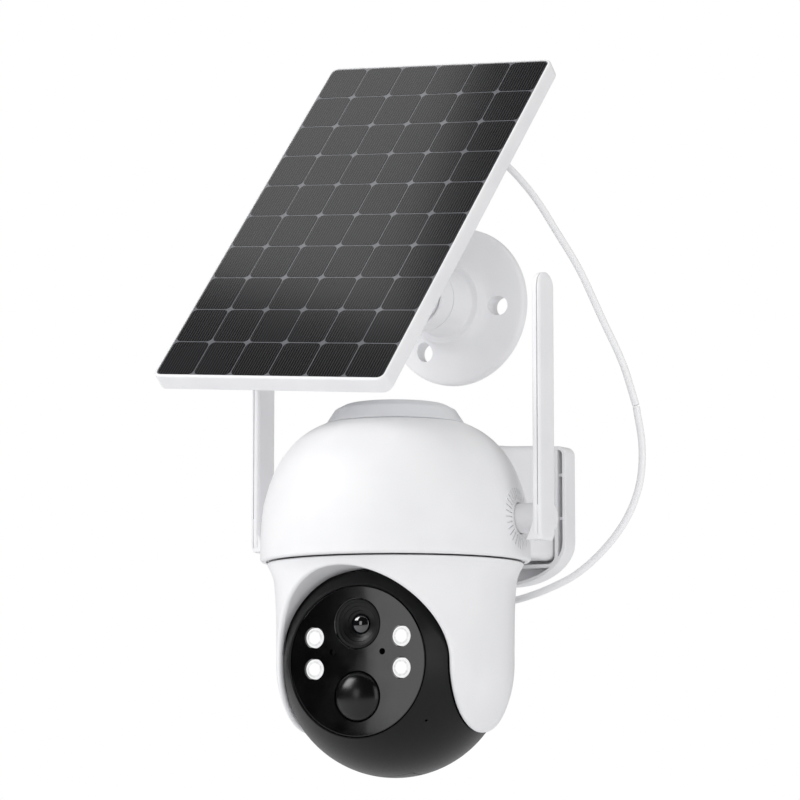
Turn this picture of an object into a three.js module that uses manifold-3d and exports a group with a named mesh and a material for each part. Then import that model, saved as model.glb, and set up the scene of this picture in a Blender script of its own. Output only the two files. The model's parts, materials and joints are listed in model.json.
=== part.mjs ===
// Solar-powered security camera: a domed housing on a wall bracket, a panning yoke with a tilting ball eye,
// two folding antennas, and a solar panel on its own wall flange, joined to the housing by a cable.
// Millimetres, +Z up, +X to the right seen from the front, the wall is the plane y = 0 and the front is -Y.
import * as THREE from "three";
import { mergeVertices } from "three/addons/utils/BufferGeometryUtils.js";
import Module from "manifold-3d";

const wasm = await Module();
wasm.setup();

// ---- driving dimensions ----
const GAP = 0.3; // clearance between neighbouring pieces
const WALL = 2.4; // moulded wall
const BIG = 32; // facets round the large shells
const MID = 24;
const SMALL = 16;
const TINY = 8;

const AXIS_Y = -84; // body axis, out from the wall
const RIM_Z = -25; // lower edge of the domed housing
const HOUSING_R = 57.7;
const HOUSING_TOP = 58.9; // above the rim
const CAP_HOLE_R = 20;
// The arm's heights are above the rim, its depth is behind the body axis, and its top climbs to the wall.
const ARM = { halfWidth: 36, low: 4.4, high: 58.8, back: 80.4, corner: 3.2 };
const ARM_TOP = { front: 50.2, back: 55.8 };
const BASE_PLATE = { r: 54.9, low: 0.4, high: 2.8 };
const HUB_R = 13.4;
const HUB_TOP = 13;

const BRACKET = { halfWidth: 42.5, low: -31.5, high: 29.8, depth: 9.4, floor: 3, wall: 1.6 };
const SOCKET = { inner: 36.9, low: -22.2, wall: 1.6, corner: 3.6 };
const RIB_HEIGHTS = [17.1, -2.2];

const HEAD_PAN = 4.5; // degrees the head is turned to the right at rest
const YOKE_R = 50.6;
const YOKE_TOP = -0.9; // below the rim
const ARCH_R = 39;
const EYE_DROP = 43.3; // eye centre below the rim
const EYE_R = 48;
const EYE_HALF_WIDTH = 38.4;
const DRUM_R = 38.2; // radius of the eye where it turns under the yoke
const DRUM_FROM = 52.7; // degrees above the lens axis
const DRUM_TO = 200;
const EYE_SPLIT = 12;
const FACE_Y = -35.6;
const FACE_R = 31.6;
const LENS_Z = 15.6;
const MOTION_Z = -14.6;
const LED_X = 20.2;
const LED_HEIGHTS = [10.1, -3.0];
const DOOR = { halfWidth: 12, front: -8, back: 8 };

const GEAR_MODULE = 1;
const PINION_TEETH = 12;
const PAN_GEAR_TEETH = 36;
const TILT_GEAR_TEETH = 30;
const PAN_GEAR_Z = 7.1; // above the rim
const TILT_GEAR_X = 29.6;
const GEAR_WIDTH = 4;

// An antenna's pivot, and its blade, whose middle lies ahead of the pivot.
const ANTENNA = { x: 70.1, y: 8, z: 17, ahead: 4.5, width: 13.6, thick: 4.4, low: -10.3, high: 103.2, corner: 3.5 };

const PANEL_PIVOT = [-17, -37, 97.1]; // centre of the ball joint
const PANEL_TILT = 51.7; // degrees of the panel's long side above level
const PANEL_SWIVEL = 4.57; // degrees about the flange's axis
const PANEL = { width: 117, length: 202, low: 41.5, high: 49.7, x: -11, y: 1.2, corner: 4 };
const FLANGE_R = 36;
const FLANGE_HOLE = { r: 4.4, circle: 24.5, angles: [-4, 116, 236] };
const JUNCTION = { x: -19, y: 54, width: 40, length: 26, low: 31.3 };

const CABLE_D = 3.1;
const CABLE_UPPER = [
  [6.2, -32.1, 160.4], [13, -32.2, 160.6], [21, -32.8, 157.6], [28.5, -33, 151.4], [40.3, -32.4, 137.7],
  [50.6, -31.2, 121.4], [60.4, -29, 104.3], [69.8, -26.5, 82.9], [78.6, -23.6, 62.1], [83.9, -21.9, 43.8],
];
const CABLE_LOWER = [
  [84, -21.8, 43.2], [86.2, -20.9, 25.7], [84.5, -20.3, 9.9], [78.8, -20.5, -3.9], [69.2, -21.1, -16.2],
  [55.2, -21.8, -27.6], [41.2, -22.2, -33.9], [25.6, -21.8, -38.2], [13.5, -20, -39.3], [5.6, -18.7, -36.8],
  [4, -18.5, -31],
];

// ---- solids: a closed three.js geometry becomes a manifold solid, and back ----
const rad = THREE.MathUtils.degToRad;

function toSolid(geometry, turned = false) {
  const bare = new THREE.BufferGeometry();
  const flat = geometry.index ? geometry.toNonIndexed() : geometry;
  bare.setAttribute("position", flat.getAttribute("position"));
  const merged = mergeVertices(bare, 1e-4);
  const corners = merged.index.array;
  const triVerts = [];
  for (let i = 0; i < corners.length; i += 3) {
    const [a, b, c] = [corners[i], corners[i + 1], corners[i + 2]];
    if (a !== b && b !== c && c !== a) triVerts.push(...(turned ? [a, c, b] : [a, b, c]));
  }
  const vertProperties = merged.getAttribute("position").array;
  const made = new wasm.Manifold(
    new wasm.Mesh({ numProp: 3, vertProperties, triVerts: new Uint32Array(triVerts) }),
  );
  return made.volume() < 0 && !turned ? toSolid(geometry, true) : made;
}

function toGeometry(solid) {
  const mesh = solid.getMesh();
  const positions = new Float32Array(mesh.numVert * 3);
  for (let i = 0; i < mesh.numVert; i++) {
    positions.set(mesh.vertProperties.subarray(i * mesh.numProp, i * mesh.numProp + 3), i * 3);
  }
  const geometry = new THREE.BufferGeometry();
  geometry.setAttribute("position", new THREE.BufferAttribute(positions, 3));
  geometry.setIndex(new THREE.BufferAttribute(new Uint32Array(mesh.triVerts), 1));
  geometry.computeVertexNormals();
  return geometry;
}

// Turns that stand a shape drawn in X and Y, and extruded along Z, on another axis.
const ALONG_X = new THREE.Matrix4().makeBasis(
  new THREE.Vector3(0, 1, 0), new THREE.Vector3(0, 0, 1), new THREE.Vector3(1, 0, 0),
);
const ALONG_Y = new THREE.Matrix4().makeBasis(
  new THREE.Vector3(-1, 0, 0), new THREE.Vector3(0, 0, 1), new THREE.Vector3(0, 1, 0),
);
const ALONG_Z = new THREE.Matrix4();

// Solid of revolution from [radius, height] points, about the given axis through `at`.
function turned(profile, facets, at = [0, 0, 0], axis = ALONG_Z) {
  const points = profile.map(([r, h]) => new THREE.Vector2(r, h));
  const geometry = new THREE.LatheGeometry(points, facets).rotateX(Math.PI / 2);
  return toSolid(geometry.applyMatrix4(axis).translate(...at));
}

function rod(r, from, to, facets, at = [0, 0, 0], axis = ALONG_Z) {
  return turned([[0, from], [r, from], [r, to], [0, to]], facets, at, axis);
}

function ring(inner, outer, from, to, facets, at = [0, 0, 0], axis = ALONG_Z) {
  return turned([[inner, from], [outer, from], [outer, to], [inner, to], [inner, from]], facets, at, axis);
}

function ball(r, facets, at = [0, 0, 0]) {
  return toSolid(new THREE.SphereGeometry(r, facets, facets / 2).rotateX(Math.PI / 2).translate(...at));
}

function box(low, high) {
  const size = high.map((v, i) => v - low[i]);
  const centre = high.map((v, i) => (v + low[i]) / 2);
  return toSolid(new THREE.BoxGeometry(...size).translate(...centre));
}

function prism(shape, from, to, axis = ALONG_Z, arcs = 3) {
  const options = { depth: to - from, bevelEnabled: false, curveSegments: arcs };
  return toSolid(new THREE.ExtrudeGeometry(shape, options).translate(0, 0, from).applyMatrix4(axis));
}

function roundedRect(width, height, corner, x = 0, y = 0) {
  const [w, h] = [width / 2, height / 2];
  const shape = new THREE.Shape();
  shape.moveTo(x - w + corner, y - h);
  shape.lineTo(x + w - corner, y - h);
  shape.absarc(x + w - corner, y - h + corner, corner, -Math.PI / 2, 0);
  shape.absarc(x + w - corner, y + h - corner, corner, 0, Math.PI / 2);
  shape.absarc(x - w + corner, y + h - corner, corner, Math.PI / 2, Math.PI);
  shape.absarc(x - w + corner, y - h + corner, corner, Math.PI, 1.5 * Math.PI);
  return shape;
}

// Involute gear outline with one tooth centred on +X, shifted by half a pitch where asked.
function gearShape(teeth, boreR, halfPitch = false) {
  const pitchR = (GEAR_MODULE * teeth) / 2;
  const pressure = rad(20);
  const baseR = pitchR * Math.cos(pressure);
  const tipR = pitchR + 0.72 * GEAR_MODULE;
  const rootR = pitchR - 1.05 * GEAR_MODULE;
  const backlash = 0.22;
  const involute = (r) => Math.tan(Math.acos(baseR / r)) - Math.acos(baseR / r);
  const halfTooth = (r) => {
    const atPitch = Math.PI / (2 * teeth) - backlash / (2 * pitchR);
    return atPitch + involute(pitchR) - involute(Math.max(r, baseR));
  };
  const flank = [rootR, pitchR, tipR];
  const shape = new THREE.Shape();
  for (let i = 0; i < teeth; i++) {
    const middle = ((i + (halfPitch ? 0.5 : 0)) * 2 * Math.PI) / teeth;
    const rising = flank.map((r) => [r, middle - halfTooth(r)]);
    const falling = flank.map((r) => [r, middle + halfTooth(r)]).reverse();
    for (const [r, angle] of [...rising, ...falling]) {
      const point = [r * Math.cos(angle), r * Math.sin(angle)];
      if (i === 0 && shape.curves.length === 0 && r === rootR && angle < middle) shape.moveTo(...point);
      else shape.lineTo(...point);
    }
  }
  if (boreR > 0) shape.holes.push(new THREE.Path().absarc(0, 0, boreR, 0, 2 * Math.PI));
  return shape;
}

// Plain tube along a smooth curve through the points.
function tube(points, diameter, steps) {
  const path = new THREE.CatmullRomCurve3(points.map((p) => new THREE.Vector3(...p)), false, "centripetal");
  const section = new THREE.Shape();
  for (let i = 0; i < 8; i++) {
    const angle = (i * Math.PI) / 4;
    const point = [(diameter / 2) * Math.cos(angle), (diameter / 2) * Math.sin(angle)];
    if (i === 0) section.moveTo(...point);
    else section.lineTo(...point);
  }
  return toSolid(new THREE.ExtrudeGeometry(section, { steps, extrudePath: path, bevelEnabled: false }));
}

// ---- materials and groups ----
const FINISH = {
  white: { color: 0xeeeff2, roughness: 0.42 },
  grey: { color: 0xc9cbd0, roughness: 0.5 },
  black: { color: 0x1d1d1f, roughness: 0.35 },
  gloss: { color: 0x060607, roughness: 0.05 },
  cells: { color: 0x17181c, roughness: 0.18 },
  steel: { color: 0xa8abb0, roughness: 0.3, metalness: 1 },
  rubber: { color: 0x2a2a2c, roughness: 0.8 },
  board: { color: 0x1f5a38, roughness: 0.6 },
  lamp: { color: 0xf6f7f3, roughness: 0.2 },
  lens: { color: 0x11151d, roughness: 0.02 },
  battery: { color: 0x2f6fb0, roughness: 0.5 },
};

const part = new THREE.Group();
const camera = new THREE.Group();
const head = new THREE.Group();
const eye = new THREE.Group();
const swivel = new THREE.Group();
const panel = new THREE.Group();
part.add(camera, swivel);
camera.add(head);
head.add(eye);
swivel.add(panel);
camera.position.set(0, AXIS_Y, RIM_Z);
head.rotation.z = rad(HEAD_PAN);
eye.position.set(0, 0, -EYE_DROP);
swivel.position.set(...PANEL_PIVOT);
swivel.rotation.y = rad(PANEL_SWIVEL);
panel.rotation.x = rad(PANEL_TILT);

function add(group, name, finish, solid) {
  const mesh = new THREE.Mesh(toGeometry(solid), new THREE.MeshStandardMaterial(FINISH[finish]));
  mesh.name = name;
  group.add(mesh);
}

// ---- wall bracket ----
function bracketOutline(inset) {
  const { halfWidth, low, high } = BRACKET;
  const [w, bottom, top] = [halfWidth - inset, low + inset, high - inset];
  const [sweepX, sweepZ, corner] = [30, 19, 4];
  const shape = new THREE.Shape();
  shape.moveTo(-w + sweepX, bottom);
  shape.lineTo(w - sweepX, bottom);
  shape.absellipse(w - sweepX, bottom + sweepZ, sweepX, sweepZ, -Math.PI / 2, 0);
  shape.absarc(w - corner, top - corner, corner, 0, Math.PI / 2);
  shape.absarc(-w + corner, top - corner, corner, Math.PI / 2, Math.PI);
  shape.absellipse(-w + sweepX, bottom + sweepZ, sweepX, sweepZ, Math.PI, 1.5 * Math.PI);
  return shape;
}

function socketOutline(margin) {
  const [halfWidth, bottom] = [SOCKET.inner + margin, SOCKET.low - margin];
  return roundedRect(2 * halfWidth, 80, SOCKET.corner + margin, 0, bottom + 40);
}

function makeBracket() {
  const { halfWidth, high, depth, floor, wall } = BRACKET;
  const outer = prism(bracketOutline(0), -depth, 0, ALONG_Y);
  const tray = outer.subtract(prism(bracketOutline(wall), -depth - 1, -floor, ALONG_Y));
  let socket = prism(socketOutline(SOCKET.wall), -depth, -1, ALONG_Y);
  for (const z of RIB_HEIGHTS) {
    socket = socket.add(box([-halfWidth + 1, -depth + 2, z - 0.7], [halfWidth - 1, -1, z + 0.7]));
  }
  socket = socket.intersect(outer);
  let bracket = tray.add(socket);
  bracket = bracket.subtract(prism(socketOutline(0), -depth - 1, -floor, ALONG_Y));
  bracket = bracket.subtract(box([-SOCKET.inner, -depth - 1, 18], [SOCKET.inner, -floor, high + 5]));
  for (const [x, z] of [[-24, 20], [24, 20], [-24, -12], [24, -12]]) {
    bracket = bracket.subtract(rod(2.2, -floor - 1, 1, TINY, [x, 0, z], ALONG_Y));
  }
  add(part, "wall_bracket", "white", bracket);
}

// ---- domed housing with its rear arm ----
const DOME_OUTSIDE = [
  [HOUSING_R, 0], [HOUSING_R, 7], [57.1, 18], [56.1, 25], [54.3, 31.5], [51.9, 38], [48.7, 44], [42.4, 51.6],
  [36.6, 56], [30.9, HOUSING_TOP],
];
const DOME_INSIDE = [
  [28, HOUSING_TOP - WALL], [33.5, 55], [40, 50], [46, 43], [51.6, 31.5], [54.6, 18], [54.6, 7.5],
  [51.5, 6.2], [51.5, 4.4], [55.2, 4.4], [55.2, 0],
];

// The arm's block, smaller by `inset` all round, from a depth behind the body axis to its back.
function armBlock(inset, from) {
  const { halfWidth, low, high, back, corner } = ARM;
  const height = high - low - 2 * inset;
  const section = roundedRect(2 * (halfWidth - inset), height, corner - inset, 0, (low + high) / 2);
  const above = new THREE.Shape();
  above.moveTo(-1, ARM_TOP.front - inset);
  above.lineTo(24, ARM_TOP.front - inset);
  above.lineTo(back + 1, ARM_TOP.back - inset);
  above.lineTo(back + 1, high + 10);
  above.lineTo(-1, high + 10);
  return prism(section, from, back - inset, ALONG_Y, 3).subtract(prism(above, -60, 60, ALONG_X));
}

function makeHousing() {
  const outside = turned([[0, 0], ...DOME_OUTSIDE, [0, HOUSING_TOP]], BIG);
  const inside = turned([[0, HOUSING_TOP - WALL], ...DOME_INSIDE, [0, 0]], BIG);
  let shell = outside.add(armBlock(0, 0)).subtract(inside).subtract(armBlock(WALL, 40));
  shell = shell.subtract(box([-60, -60, -9], [60, 90, 0]));
  shell = shell.subtract(rod(CAP_HOLE_R, 50, 70, MID));
  for (const side of [-1, 1]) {
    shell = shell.subtract(rod(6.8, 50 * side, 64 * side, SMALL, [0, ANTENNA.y, ANTENNA.z], ALONG_X));
  }
  shell = shell.subtract(rod(2.2, 0, ARM.low + WALL + 1, TINY, [4, 65.5, 0]));
  add(camera, "upper_housing", "white", shell);
}

function makeCap() {
  const profile = [
    [0, 64.6], [17.6, 64.6], [17.6, 56.6], [19.6, 56.6], [19.6, 59.2], [29.8, 59.2], [25.7, 65.1],
    [22.6, 67.3], [12, 68.5], [0, 68.9],
  ];
  add(camera, "top_cap", "grey", turned(profile, MID));
}

const SCREW_ANGLES = [30, 150, 270];

function makeBase() {
  const { r, low, high } = BASE_PLATE;
  let plate = ring(16, r, low, high, MID).add(ring(16, 22.4, low, 6.2, MID));
  plate = plate.subtract(rod(19.8, low + 0.8, 10, MID));
  SCREW_ANGLES.forEach((angle, i) => {
    const at = [47.5 * Math.cos(rad(angle)), 47.5 * Math.sin(rad(angle)), 0];
    plate = plate.subtract(rod(1.9, -1, 5, TINY, at));
    const screw = turned([[0, 0.4], [1.5, 0.4], [1.5, 3.2], [3, 3.2], [2.7, 4.8], [0, 4.8]], TINY, at);
    add(camera, `base_screw_${i + 1}`, "steel", screw);
  });
  add(camera, "housing_base", "white", plate);
  add(camera, "base_gasket", "rubber", ring(51.9, 54.7, 3.1, 4.1, MID));
  add(camera, "pan_bearing", "steel", ring(HUB_R + GAP, 19.5, 1.5, 6.4, MID));
}

function makeHousingInternals() {
  let pack = box([-32, -9.6, 31.4], [32, 9.6, 33.4]);
  for (const y of [-9.6, 9.6]) pack = pack.add(rod(9.2, -33, 33, SMALL, [0, y, 40], ALONG_X));
  add(camera, "battery_pack", "battery", pack);
  add(camera, "main_board", "board", prism(roundedRect(42, 42, 4), 51.3, 52.9));
  const cone = [[0, 3.6], [13, 3.6], [13, 7], [9, 12.5], [0, 12.5]];
  add(camera, "speaker", "black", turned(cone, SMALL, [34, -13, 0]));
  const drive = [-(GEAR_MODULE * (PINION_TEETH + PAN_GEAR_TEETH)) / 2, 0, 0];
  add(camera, "pan_motor", "steel", rod(12, HUB_TOP + 0.4, 28, SMALL, drive));
}

function makePanPinion() {
  const centre = (GEAR_MODULE * (PINION_TEETH + PAN_GEAR_TEETH)) / 2;
  const teeth = prism(gearShape(PINION_TEETH, 0, true), PAN_GEAR_Z - 0.3, PAN_GEAR_Z + GEAR_WIDTH + 0.3);
  const shaft = rod(1.5, PAN_GEAR_Z, HUB_TOP, TINY);
  const turn = new THREE.Group();
  turn.position.set(-centre, 0, 0);
  camera.add(turn);
  add(turn, "pan_pinion", "white", teeth.add(shaft));
}

// ---- antennas: a flat blade with a flared foot and a round pivot that enters the housing ----
function makeAntenna(side) {
  const { x, width, thick, low, high, corner } = ANTENNA;
  const middle = -ANTENNA.ahead * side;
  const [front, back] = [middle - width / 2, middle + width / 2];
  const blade = new THREE.Shape();
  blade.moveTo(front + corner, low);
  blade.lineTo(back - corner, low);
  blade.absarc(back - corner, low + corner, corner, -Math.PI / 2, 0);
  blade.absarc(middle, high - width / 2, width / 2, 0, Math.PI);
  blade.absarc(front + corner, low + corner, corner, Math.PI, 1.5 * Math.PI);
  const bladeSolid = prism(blade, x - thick / 2, x + thick / 2, ALONG_X, 5);
  const footShape = new THREE.Shape();
  footShape.moveTo(x - 6.4, low + 0.5);
  footShape.lineTo(x, low + 0.5);
  footShape.lineTo(x, 4);
  footShape.lineTo(x - thick / 2, 4);
  footShape.quadraticCurveTo(x - thick / 2 - 0.8, -5, x - 6.4, low + 0.5);
  const foot = prism(footShape, -back, -front, new THREE.Matrix4().makeRotationX(Math.PI / 2), 4);
  const footEdge = prism(roundedRect(width, 30, corner, middle, low + 15), x - 10, x + 3, ALONG_X, 4);
  const axle = rod(6.3, 50.6, x + 1.2, SMALL, [0, 0, 0], ALONG_X);
  const retainer = ring(2.2, 8.3, 48.7, 50.3, SMALL, [0, 0, 0], ALONG_X);
  const hinge = new THREE.Group();
  hinge.position.set(0, ANTENNA.y, ANTENNA.z);
  hinge.rotation.z = side > 0 ? 0 : Math.PI;
  camera.add(hinge);
  const name = side > 0 ? "right" : "left";
  add(hinge, `antenna_${name}`, "white", bladeSolid.add(foot.intersect(footEdge)).add(axle));
  add(hinge, `antenna_retainer_${name}`, "grey", retainer);
}

// ---- yoke: the panning head ----
// The room that the eye sweeps as it tilts: its ball, and only its drum in the sector above.
function sweptByEye() {
  const slab = box([-ARCH_R, -70, -70], [ARCH_R, 70, 70]);
  const above = drumCut(ARCH_R, DRUM_FROM + 1.2, 178.8 - DRUM_FROM);
  return ball(EYE_R + 0.7, BIG).subtract(above).intersect(slab);
}

function makeYoke() {
  const sphere = [];
  for (let i = 1; i <= 8; i++) {
    const angle = (i / 8) * rad(52);
    sphere.push([YOKE_R * Math.cos(angle), -EYE_DROP - YOKE_R * Math.sin(angle)]);
  }
  const profile = [
    [0, YOKE_TOP], [54, YOKE_TOP], [54, YOKE_TOP - 0.8], [52.6, -4], [51.8, -7.5], [51.1, -16],
    [YOKE_R, -38], [YOKE_R, -EYE_DROP], ...sphere, [0, sphere[7][1]],
  ];
  let shell = turned(profile, BIG);
  shell = shell.subtract(rod(ARCH_R, -70, 70, MID, [0, 0, -EYE_DROP], ALONG_Y));
  shell = shell.subtract(box([-ARCH_R, -70, -120], [ARCH_R, 70, -EYE_DROP]));
  shell = shell.subtract(sweptByEye().translate([0, 0, -EYE_DROP]));
  for (const side of [-1, 1]) {
    shell = shell.subtract(rod(24, 38 * side, 43.4 * side, MID, [0, 0, -EYE_DROP], ALONG_X));
    shell = shell.subtract(rod(6.3, 38 * side, 46 * side, SMALL, [0, 0, -EYE_DROP], ALONG_X));
  }
  shell = shell.add(rod(HUB_R, YOKE_TOP - 0.5, HUB_TOP, MID)).subtract(rod(6, -10, 20, SMALL));
  add(head, "yoke_shell", "white", shell);
  const teeth = gearShape(PAN_GEAR_TEETH, HUB_R + GAP);
  const gear = prism(teeth, PAN_GEAR_Z, PAN_GEAR_Z + GEAR_WIDTH, ALONG_Z, 10);
  add(head, "pan_gear", "white", gear.rotate([0, 0, -HEAD_PAN]));
  const nut = ring(HUB_R + GAP, 16.6, PAN_GEAR_Z + GEAR_WIDTH + GAP, HUB_TOP - 0.1, MID);
  add(head, "pan_retaining_ring", "steel", nut);
}

function makeTiltBearings() {
  for (const side of [-1, 1]) {
    const name = side > 0 ? "right" : "left";
    const cover = ring(8.2, 23.7, 41.2 * side, 39.4 * side, MID, [0, 0, -EYE_DROP], ALONG_X);
    add(head, `arm_cover_${name}`, "white", cover);
    const inner = side > 0 ? TILT_GEAR_X - 0.8 : 33;
    const axle = rod(6, inner * side, 45.6 * side, SMALL, [0, 0, -EYE_DROP], ALONG_X);
    const collar = rod(7.6, 41.6 * side, 43 * side, SMALL, [0, 0, -EYE_DROP], ALONG_X);
    add(head, `tilt_axle_${name}`, "steel", axle.add(collar));
  }
  const teeth = gearShape(TILT_GEAR_TEETH, 6 + GAP);
  const gear = prism(teeth, TILT_GEAR_X, TILT_GEAR_X + GEAR_WIDTH, ALONG_X, 8);
  add(eyeFixed(), "tilt_gear", "white", gear);
}

// A group at the eye's centre that doesn't tilt with it.
function eyeFixed() {
  const group = new THREE.Group();
  group.position.set(0, 0, -EYE_DROP);
  head.add(group);
  return group;
}

// ---- ball eye ----
// The sector above and behind the eye, outside the drum radius, that must pass under the yoke.
function drumCut(drumR, from, to) {
  const fan = new THREE.Shape();
  fan.moveTo(0, 0);
  for (let i = 0; i <= 6; i++) {
    const angle = Math.PI - rad(from + ((to - from) * i) / 6);
    fan.lineTo(90 * Math.cos(angle), 90 * Math.sin(angle));
  }
  return prism(fan, -60, 60, ALONG_X).subtract(rod(drumR, -61, 61, MID, [0, 0, 0], ALONG_X));
}

function doorBlock(inset) {
  const { halfWidth, front, back } = DOOR;
  return box([-halfWidth + inset, front + inset, -60], [halfWidth - inset, back - inset, -40]);
}

function makeEyeShells() {
  const slab = box([-EYE_HALF_WIDTH, FACE_Y, -60], [EYE_HALF_WIDTH, 60, 60]);
  const outside = ball(EYE_R, BIG).intersect(slab).subtract(drumCut(DRUM_R, DRUM_FROM, DRUM_TO));
  const room = EYE_HALF_WIDTH - WALL;
  const hollow = ball(EYE_R - 2.6, MID)
    .intersect(box([-room, -30.4, -60], [room, 60, 60]))
    .subtract(drumCut(DRUM_R - WALL, DRUM_FROM - 3.6, DRUM_TO + 3.6));
  const shell = outside.subtract(hollow)
    .subtract(rod(6.5, -60, 60, SMALL, [0, 0, 0], ALONG_X))
    .subtract(rod(28.6, -40, -20, MID, [0, 0, 0], ALONG_Y))
    .subtract(rod(FACE_R, -40, FACE_Y + 3.4, MID, [0, 0, 0], ALONG_Y));
  const front = shell.intersect(box([-60, -60, -60], [60, EYE_SPLIT, 60])).subtract(doorBlock(0));
  const rear = shell.intersect(box([-60, EYE_SPLIT + GAP, -60], [60, 60, 60]));
  add(eye, "eye_front_shell", "black", front);
  add(eye, "eye_rear_shell", "black", rear);
  const door = ball(EYE_R, BIG).subtract(ball(EYE_R - 2.2, BIG)).intersect(doorBlock(GAP));
  add(eye, "card_door", "black", door);
}

function makeFace() {
  const window = [[0, 0.2], [FACE_R - 0.7, 0.2], [FACE_R - 0.3, 0.6], [FACE_R - 0.3, 2.3], [0, 2.3]];
  let glass = turned(window, MID, [0, FACE_Y, 0], ALONG_Y);
  glass = glass.subtract(rod(10.6, -40, -30, MID, [0, 0, LENS_Z], ALONG_Y));
  glass = glass.subtract(rod(10.6, -40, -30, MID, [0, 0, MOTION_Z], ALONG_Y));
  let i = 0;
  for (const z of LED_HEIGHTS) {
    for (const x of [-LED_X, LED_X]) {
      i += 1;
      glass = glass.subtract(rod(4.5, -40, -30, SMALL, [x, 0, z], ALONG_Y));
      const lamp = [[0, 0.4], [3.4, 0.4], [4.2, 1], [4.2, 4.8], [0, 4.8]];
      add(eye, `led_lens_${i}`, "lamp", turned(lamp, TINY, [x, FACE_Y, z], ALONG_Y));
    }
  }
  add(eye, "face_glass", "gloss", glass);
  add(eye, "face_gasket", "rubber", ring(29, FACE_R - 0.4, 2.6, 3.2, MID, [0, FACE_Y, 0], ALONG_Y));
}

function makeOptics() {
  const barrel = [
    [0, 3.4], [5.4, 2.6], [6.2, 2.0], [8.6, 0.9], [10.3, 0.4], [10.3, 3.6], [8.2, 4.6], [8.2, 16], [0, 16],
  ];
  const at = [0, FACE_Y, LENS_Z];
  add(eye, "lens_barrel", "black", turned(barrel, MID, at, ALONG_Y));
  add(eye, "lens_glass", "lens", turned([[0, 1.1], [3, 1.5], [5.2, 2.3], [0, 3.1]], SMALL, at, ALONG_Y));
  const dome = [[0, -3.4], [3.6, -3], [6.6, -2], [8.8, -0.7], [10.3, 0.8], [10.3, 4.6], [0, 4.6]];
  add(eye, "motion_lens", "gloss", turned(dome, MID, [0, FACE_Y, MOTION_Z], ALONG_Y));
  const board = ring(0, 26, 8, 9.6, MID, [0, FACE_Y, 0], ALONG_Y);
  add(eye, "face_board", "board", board.subtract(rod(8.6, -30, -20, SMALL, [0, 0, LENS_Z], ALONG_Y)));
  add(eye, "motion_sensor", "steel", rod(4.6, 5, 7.7, SMALL, [0, FACE_Y, MOTION_Z], ALONG_Y));
  add(eye, "image_board", "board", box([-13, -19.3, LENS_Z - 12], [13, -17.7, LENS_Z + 12]));
  add(eye, "microphone", "steel", rod(2.6, 0, 2.4, TINY, [14, -31, -18], ALONG_Y));
}

function makeTiltDrive() {
  const centre = (GEAR_MODULE * (PINION_TEETH + TILT_GEAR_TEETH)) / 2;
  const x = TILT_GEAR_X;
  const teeth = prism(gearShape(PINION_TEETH, 0, true), x - 0.3, x + GEAR_WIDTH + 0.3, ALONG_X);
  const shaft = rod(1.5, x - 2, x + 1, TINY, [0, 0, 0], ALONG_X);
  const turn = new THREE.Group();
  turn.position.set(0, centre, 0);
  eye.add(turn);
  add(turn, "tilt_pinion", "white", teeth.add(shaft));
  add(eye, "tilt_motor", "steel", rod(12, 10, x - 2.3, SMALL, [0, centre, 0], ALONG_X));
}

function makeService() {
  add(eye, "card_reader", "steel", box([-10, -6.5, -43.6], [3, 6.5, -41]));
  const knob = [[0, -43.4], [1.6, -43.4], [1.9, -43], [1.9, -39], [0, -39]];
  add(eye, "reset_button", "grey", turned(knob, TINY, [8, 0, 0]));
  add(eye, "service_board", "board", box([-14, -11, -37.6], [14, 11, -36.2]));
}

// ---- solar panel on its ball joint ----
function makeFlange() {
  const profile = [
    [0, 0], [FLANGE_R, 0], [FLANGE_R, 2.4], [34.4, 4.3], [26, 6.9], [20, 9], [17, 11.6], [15, 14.4],
    [14.2, 18], [13.9, 28], [9.6, 28], [9.6, 18], [0, 18],
  ];
  const out = profile.map(([r, y]) => [r, -y]);
  const [x, , z] = PANEL_PIVOT;
  let flange = turned(out, MID, [x, 0, z], ALONG_Y);
  const { r, circle, angles } = FLANGE_HOLE;
  for (const angle of angles) {
    const at = [x + circle * Math.cos(rad(angle)), 0, z + circle * Math.sin(rad(angle))];
    flange = flange.subtract(rod(r, -20, 1, SMALL, at, ALONG_Y));
  }
  add(part, "panel_flange", "white", flange);
  const collar = [
    [9.6, -28.3], [13.8, -28.3], [13.8, -37.9], [13.3, -38.4], [9.25, -38.4], [9.25, -37.6], [9.6, -36.5],
    [9.6, -28.3],
  ];
  add(part, "locking_collar", "white", turned(collar, MID, [x, 0, z], ALONG_Y));
}

function makeBallJoint() {
  const seat = rod(9.3, 3.8, 18.7, SMALL, [0, 0, 0], ALONG_Y).subtract(ball(9.5, SMALL));
  add(swivel, "ball_seat", "grey", seat);
  const top = PANEL.low - GAP;
  const stem = [[0, 0], [4.4, 0], [4.4, 16], [6.6, 33], [14, 38], [14, top], [0, top]];
  add(panel, "ball_stud", "white", ball(9, SMALL).add(turned(stem, SMALL)));
}

function makePanel() {
  const { width, length, low, high, x, y, corner } = PANEL;
  const slab = (inset, from, to) => {
    return prism(roundedRect(width - 2 * inset, length - 2 * inset, corner - inset, x, y), from, to);
  };
  const frame = slab(0, low, high).subtract(slab(1.2, high - 3, high + 1));
  add(panel, "panel_frame", "white", frame.subtract(slab(1.8, low - 1, high - 4.6)));
  add(panel, "solar_laminate", "cells", slab(1.2 + GAP, high - 2.7, high - 0.2));
  add(panel, "panel_back", "white", slab(1.8 + GAP, low, low + 2));
}

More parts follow.
